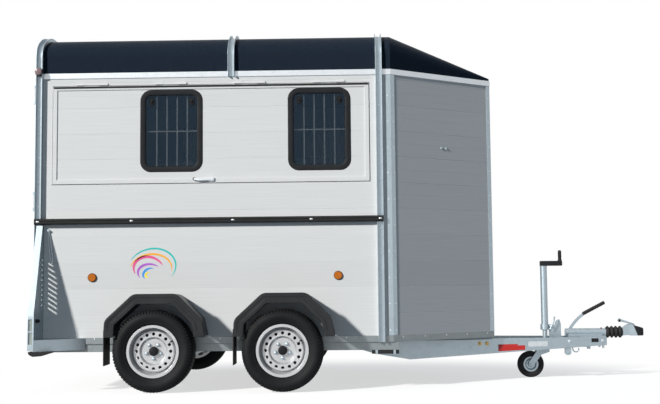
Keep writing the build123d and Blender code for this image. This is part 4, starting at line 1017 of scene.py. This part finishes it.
def make_corner_fittings():
    """Rubber buffers, wheel chocks in their clips under the frame, and the locking loops."""
    rubber, steel, loops = meshes(3)
    wedge = ((24, 313), (32, 292), (60, 277), (122, 281), (205, 306), (205, 313))
    knob = [(0, 0), (11, 0), (11, 3), (5, 5), (5, 14), (9, 16), (9, 19), (0, 20)]
    for side in (RIGHT, LEFT):
        outline = [(REAR + u, v) for u, v in wedge]
        prism_into(rubber, outline, *sorted((side * 1050, side * 1130)), upright, 4)
        box_into(rubber, (CORNER - 166, side * 846, 264), (CORNER + 40, side * 886, 293), 6, 3)
        for x in (CORNER - 130, CORNER + 6):
            box_into(steel, (x - 9, side * 844, 261), (x + 9, side * 888, 294), 1.5)
        # A locking loop that hangs on the wall behind its knob
        y = side * (HALF + 7)
        loop = [(REAR + 106, y, 1224)]
        for t in (0.5, 1.0, 1.6, 2.2, 2.7, 3.1, 3.6, 4.2, 4.8, 5.4, 5.9):
            lean = 9 * sin(t) + 15 - 15 * cos(t)
            loop.append((REAR + 106 + lean, y, 1094 + 130 * cos(t)))
        tube_into(loops, smooth_path(loop + loop[:1], 4)[:-1], 3.6, 10, closed=True)
        lathe_into(steel, knob, (REAR + 106, side * HALF, 1226), (0, side, 0), 20)
    piece("corner_rubbers", rubber, "black_rubber")
    piece("corner_steel", steel, "galvanised")
    piece("locking_loops", loops, "galvanised")


def make_rear_furniture():
    """Ramp latches, ribs and treads, door bars and handles, hinge plates."""
    foot, head = (corner.z for corner in mm_box("ramp"))
    latches, treads, ribs, plates = meshes(4)
    for y in (RIGHT * 790, LEFT * 790):
        box_into(latches, (REAR - 6, y - 24, head - 150), (REAR - 0.5, y + 24, head - 30), 2)
        lever = ((10, 46), (16, 80), (24, 140), (21, 190))
        flat_bar(latches, smooth_path([(REAR - u, y, head - v) for u, v in lever]), (0, 1, 0), 11, 3)
        knob = [(0, 0), (13, 0), (13, 12), (9, 15), (0, 15)]
        lathe_into(latches, knob, (REAR - 6, y, head - 60), (-1, 0, 0), 24)
    for y in (-620, -310, 0, 310, 620):
        box_into(ribs, (REAR - 8, y - 18, foot + 40), (REAR - 0.5, y + 18, head - 20), 3)
    piece("ramp_ribs", ribs, "aluminium", "ramp")
    piece("ramp_latches", latches, "galvanised", "ramp")
    for i in range(12):
        z = foot + 60 + 72 * i
        box_into(treads, (REAR + 35, -760, z), (REAR + 47, 760, z + 22), 4)
    piece("ramp_treads", treads, "black_rubber", "ramp")
    for side, hand in HANDS:
        name, bar, y = f"rear_door_{hand}", bmesh.new(), side * 44
        foot, head = (corner.z for corner in mm_box(name))
        tube_into(bar, [(REAR - 13, y, foot + 25), (REAR - 13, y, head - 25)], 8, 16)
        for z in (foot + 70, 1640, 2000, head - 70):
            box_into(bar, (REAR - 20, y - 17, z - 14), (REAR - 0.5, y + 17, z + 14), 3)
        lever = [(REAR - 22, y, 1822), (REAR - 25, y + side * 60, 1820), (REAR - 24, y + side * 120, 1806)]
        flat_bar(bar, smooth_path(lever), (1, 0, 0), 3, 11)
        piece(f"{name}_bar", bar, "galvanised", name)
    for side in (RIGHT, LEFT):
        for z, end in ((1454, -1), (1454, 1), (2290, -1), (2290, 1)):
            corners = (REAR - 5, side * 844, z + end * 96), (REAR - 0.5, side * 898, z + end * 63)
            box_into(plates, *corners, 1.5)
            hex_bolt_into(plates, (REAR - 5, side * 871, z + end * 80), (-1, 0, 0), 7, 8)
    piece("hinge_plates", plates, "galvanised")


def make_tack_door_furniture():
    """A paddle latch and a grab handle on the door in the left nose panel, and the seal round it."""
    def on_nose(u, v, w):
        return nose_point(LEFT, u, w, v)

    plate, handles, seal = meshes(3)
    middle = 307
    for bm, z, width, height, corner, start, end, edge in (
        (plate, 1330, 90, 120, 14, 0, 4, 1),
        (handles, 1316, 56, 62, 9, 4, 11, 2),
    ):
        outline = [(middle + u, z + v) for u, v in rounded_rectangle(width, height, corner, 5)]
        prism_into(bm, outline, start, end, on_nose, edge)
    grab = ((1500, 0), (1508, 34), (1540, 44), (1640, 44), (1672, 34), (1680, 0))
    tube_into(handles, smooth_path([on_nose(middle, v, w) for v, w in grab]), 8, 14)
    piece("tack_latch_plate", plate, "aluminium", "tack_door")
    piece("tack_latch", handles, "black_plastic", "tack_door")
    edge = [on_nose(510 + u, 1360 + v, 1) for u, v in rounded_rectangle(568, 1848, 38, 6)]
    tube_into(seal, edge, 2.4, 6, closed=True)
    piece("tack_door_seal", seal, "black_rubber", weighted=False)


def make_flap_trim():
    """Rubber along the head of the side flap, which also stands as painted shadow in its hinge gap, and the
    screws of its hinge leaves and edges.
    """
    low, high = mm_box("side_flap")
    y = -HALF - 6
    bm, screws = meshes(2)
    # A black strip that is partly real rubber and partly painted shadow of the hinge gap
    box_into(bm, (low.x + 4, y - 2.5, 2329), (high.x - 4, y + 0.5, 2344), 1.2)
    piece("flap_head_rubber_and_gap_shade", bm, "black_rubber", "side_flap")
    count = 14
    pitch = (high.x - low.x - 80) / (count - 1)
    heads_into(screws, [(low.x + 40 + pitch * i, y, 1599) for i in range(count)], (0, -1, 0), 3.6, 1.6)
    for x in (low.x + 16, high.x - 16):
        heads_into(screws, [(x, y, 1680 + 130 * i) for i in range(5)], (0, -1, 0), 3.6, 1.6)
    piece("flap_screws", screws, "aluminium", "side_flap")


def make_inside():
    """Padded divider, breast bars and kick boards, and a floor mat."""
    low, high = mm_box("divider")
    length, inner = (high.x - low.x - 120) / 3, HALF - WALL
    node, pads, mat = node_mesh("divider"), bmesh.new(), bmesh.new()
    round_edges(node, 4 * MM)
    piece("divider_frame", node, "galvanised", nodes=["divider"])
    for side in (RIGHT, LEFT):
        for i in range(3):
            start = low.x + 60 + i * length
            box_into(pads, (start + 4, side * 15.5, 930), (start + length - 4, side * 34, 1820), 9, 3)
        start, end = (REAR + 90, side * (inner - 14), 415), (CORNER - 110, side * (inner - 0.5), 1180)
        box_into(pads, start, end, 4)
        tube_into(pads, [(high.x - 25, side * 60, 1400), (high.x - 25, side * 850, 1400)], 33, 20)
    piece("stall_padding", pads, "black_rubber")
    box_into(mat, (REAR + 70, -850, 405.5), (CORNER - 95, 850, 411), 2)
    piece("stall_mat", mat, "black_rubber")


def make_stage():
    """A pale floor that the camera sees as white out of the trailer's soft shadow."""
    mesh = bpy.data.meshes.new("floor_stage")
    corners = [(FLOOR_HALF * x, FLOOR_HALF * y, 0) for x, y in ((-1, -1), (1, -1), (1, 1), (-1, 1))]
    mesh.from_pydata(corners, [], [(0, 1, 2, 3)])
    floor = link_object("floor_stage", mesh)
    made = material("stage_floor", FLOOR_BOUNCE, 0.9, Specular_IOR_Level=0.0)
    nodes = Nodes(made)
    seen = nodes.seen()
    pale = nodes.add("BsdfDiffuse", {"Color": (FLOOR_PALE, FLOOR_PALE, FLOOR_PALE, 1)})
    glow = nodes.add("Emission", {"Color": (1, 1, 1, 1), "Strength": 1.0})
    # The glow takes over from the shadow outside an ellipse round the trailer
    place = nodes.point((1 / SHADE_REACH[0], 1 / SHADE_REACH[1], 1))
    away = nodes.add("VectorMath", {0: place}, operation="LENGTH").outputs["Value"]
    ends = dict(zip(("From Min", "From Max", "To Min", "To Max"), SHADE_BAND + FLOOR_GLOW))
    share = nodes.add("MapRange", {"Value": away, **ends}, interpolation_type="SMOOTHSTEP").outputs[0]
    shown = nodes.add("MixShader", {0: share, 1: pale.outputs[0], 2: glow.outputs[0]})
    nodes.show(seen, nodes.shader, shown, "Material Output")
    mesh.materials.append(made)


def make_world():
    """A white background to the camera, and a dim blue sky as light."""
    world = bpy.data.worlds.new("studio")
    world.use_nodes = True
    bpy.context.scene.world = world
    nodes = Nodes(world)
    shown = nodes.tree.nodes["Background"]
    shown.inputs["Color"].default_value = (1, 1, 1, 1)
    light = nodes.add("Background", {"Color": (*SKY_COLOUR, 1), "Strength": SKY_LEVEL})
    nodes.show(nodes.seen(), light, shown, "World Output")


def make_sun():
    data = bpy.data.lights.new("key", "SUN")
    data.energy = SUN_STRENGTH
    data.angle = radians(SUN_SPREAD)
    data.color = SUN_COLOUR
    link_object("key", data).matrix_world = frame_at((0, 0, 0), SUN_TOWARDS)


make_camera()
make_world()
make_stage()
make_sun()
make_panels()
make_plain_finishes()
make_mudguards()
make_rivets()
make_belt()
make_windows()
make_wheels()
make_bellows()
make_handbrake()
make_jockey()
make_coupling()
make_lamps()
make_flap_handle()
make_flap_trim()
make_marks()
make_beam_fittings()
make_corner_fittings()
make_rear_furniture()
make_tack_door_furniture()
make_inside()
# The far (left) window panes take the darker copy of the pane glass, which is painted shade
for name, node in NODES.items():
    node.data.materials.clear()
    node.data.materials.append(MATERIALS["shaded_far_pane" if name == "window_panes_left" else SLOTS[name]])

bpy.context.scene.view_settings.view_transform = "Standard"
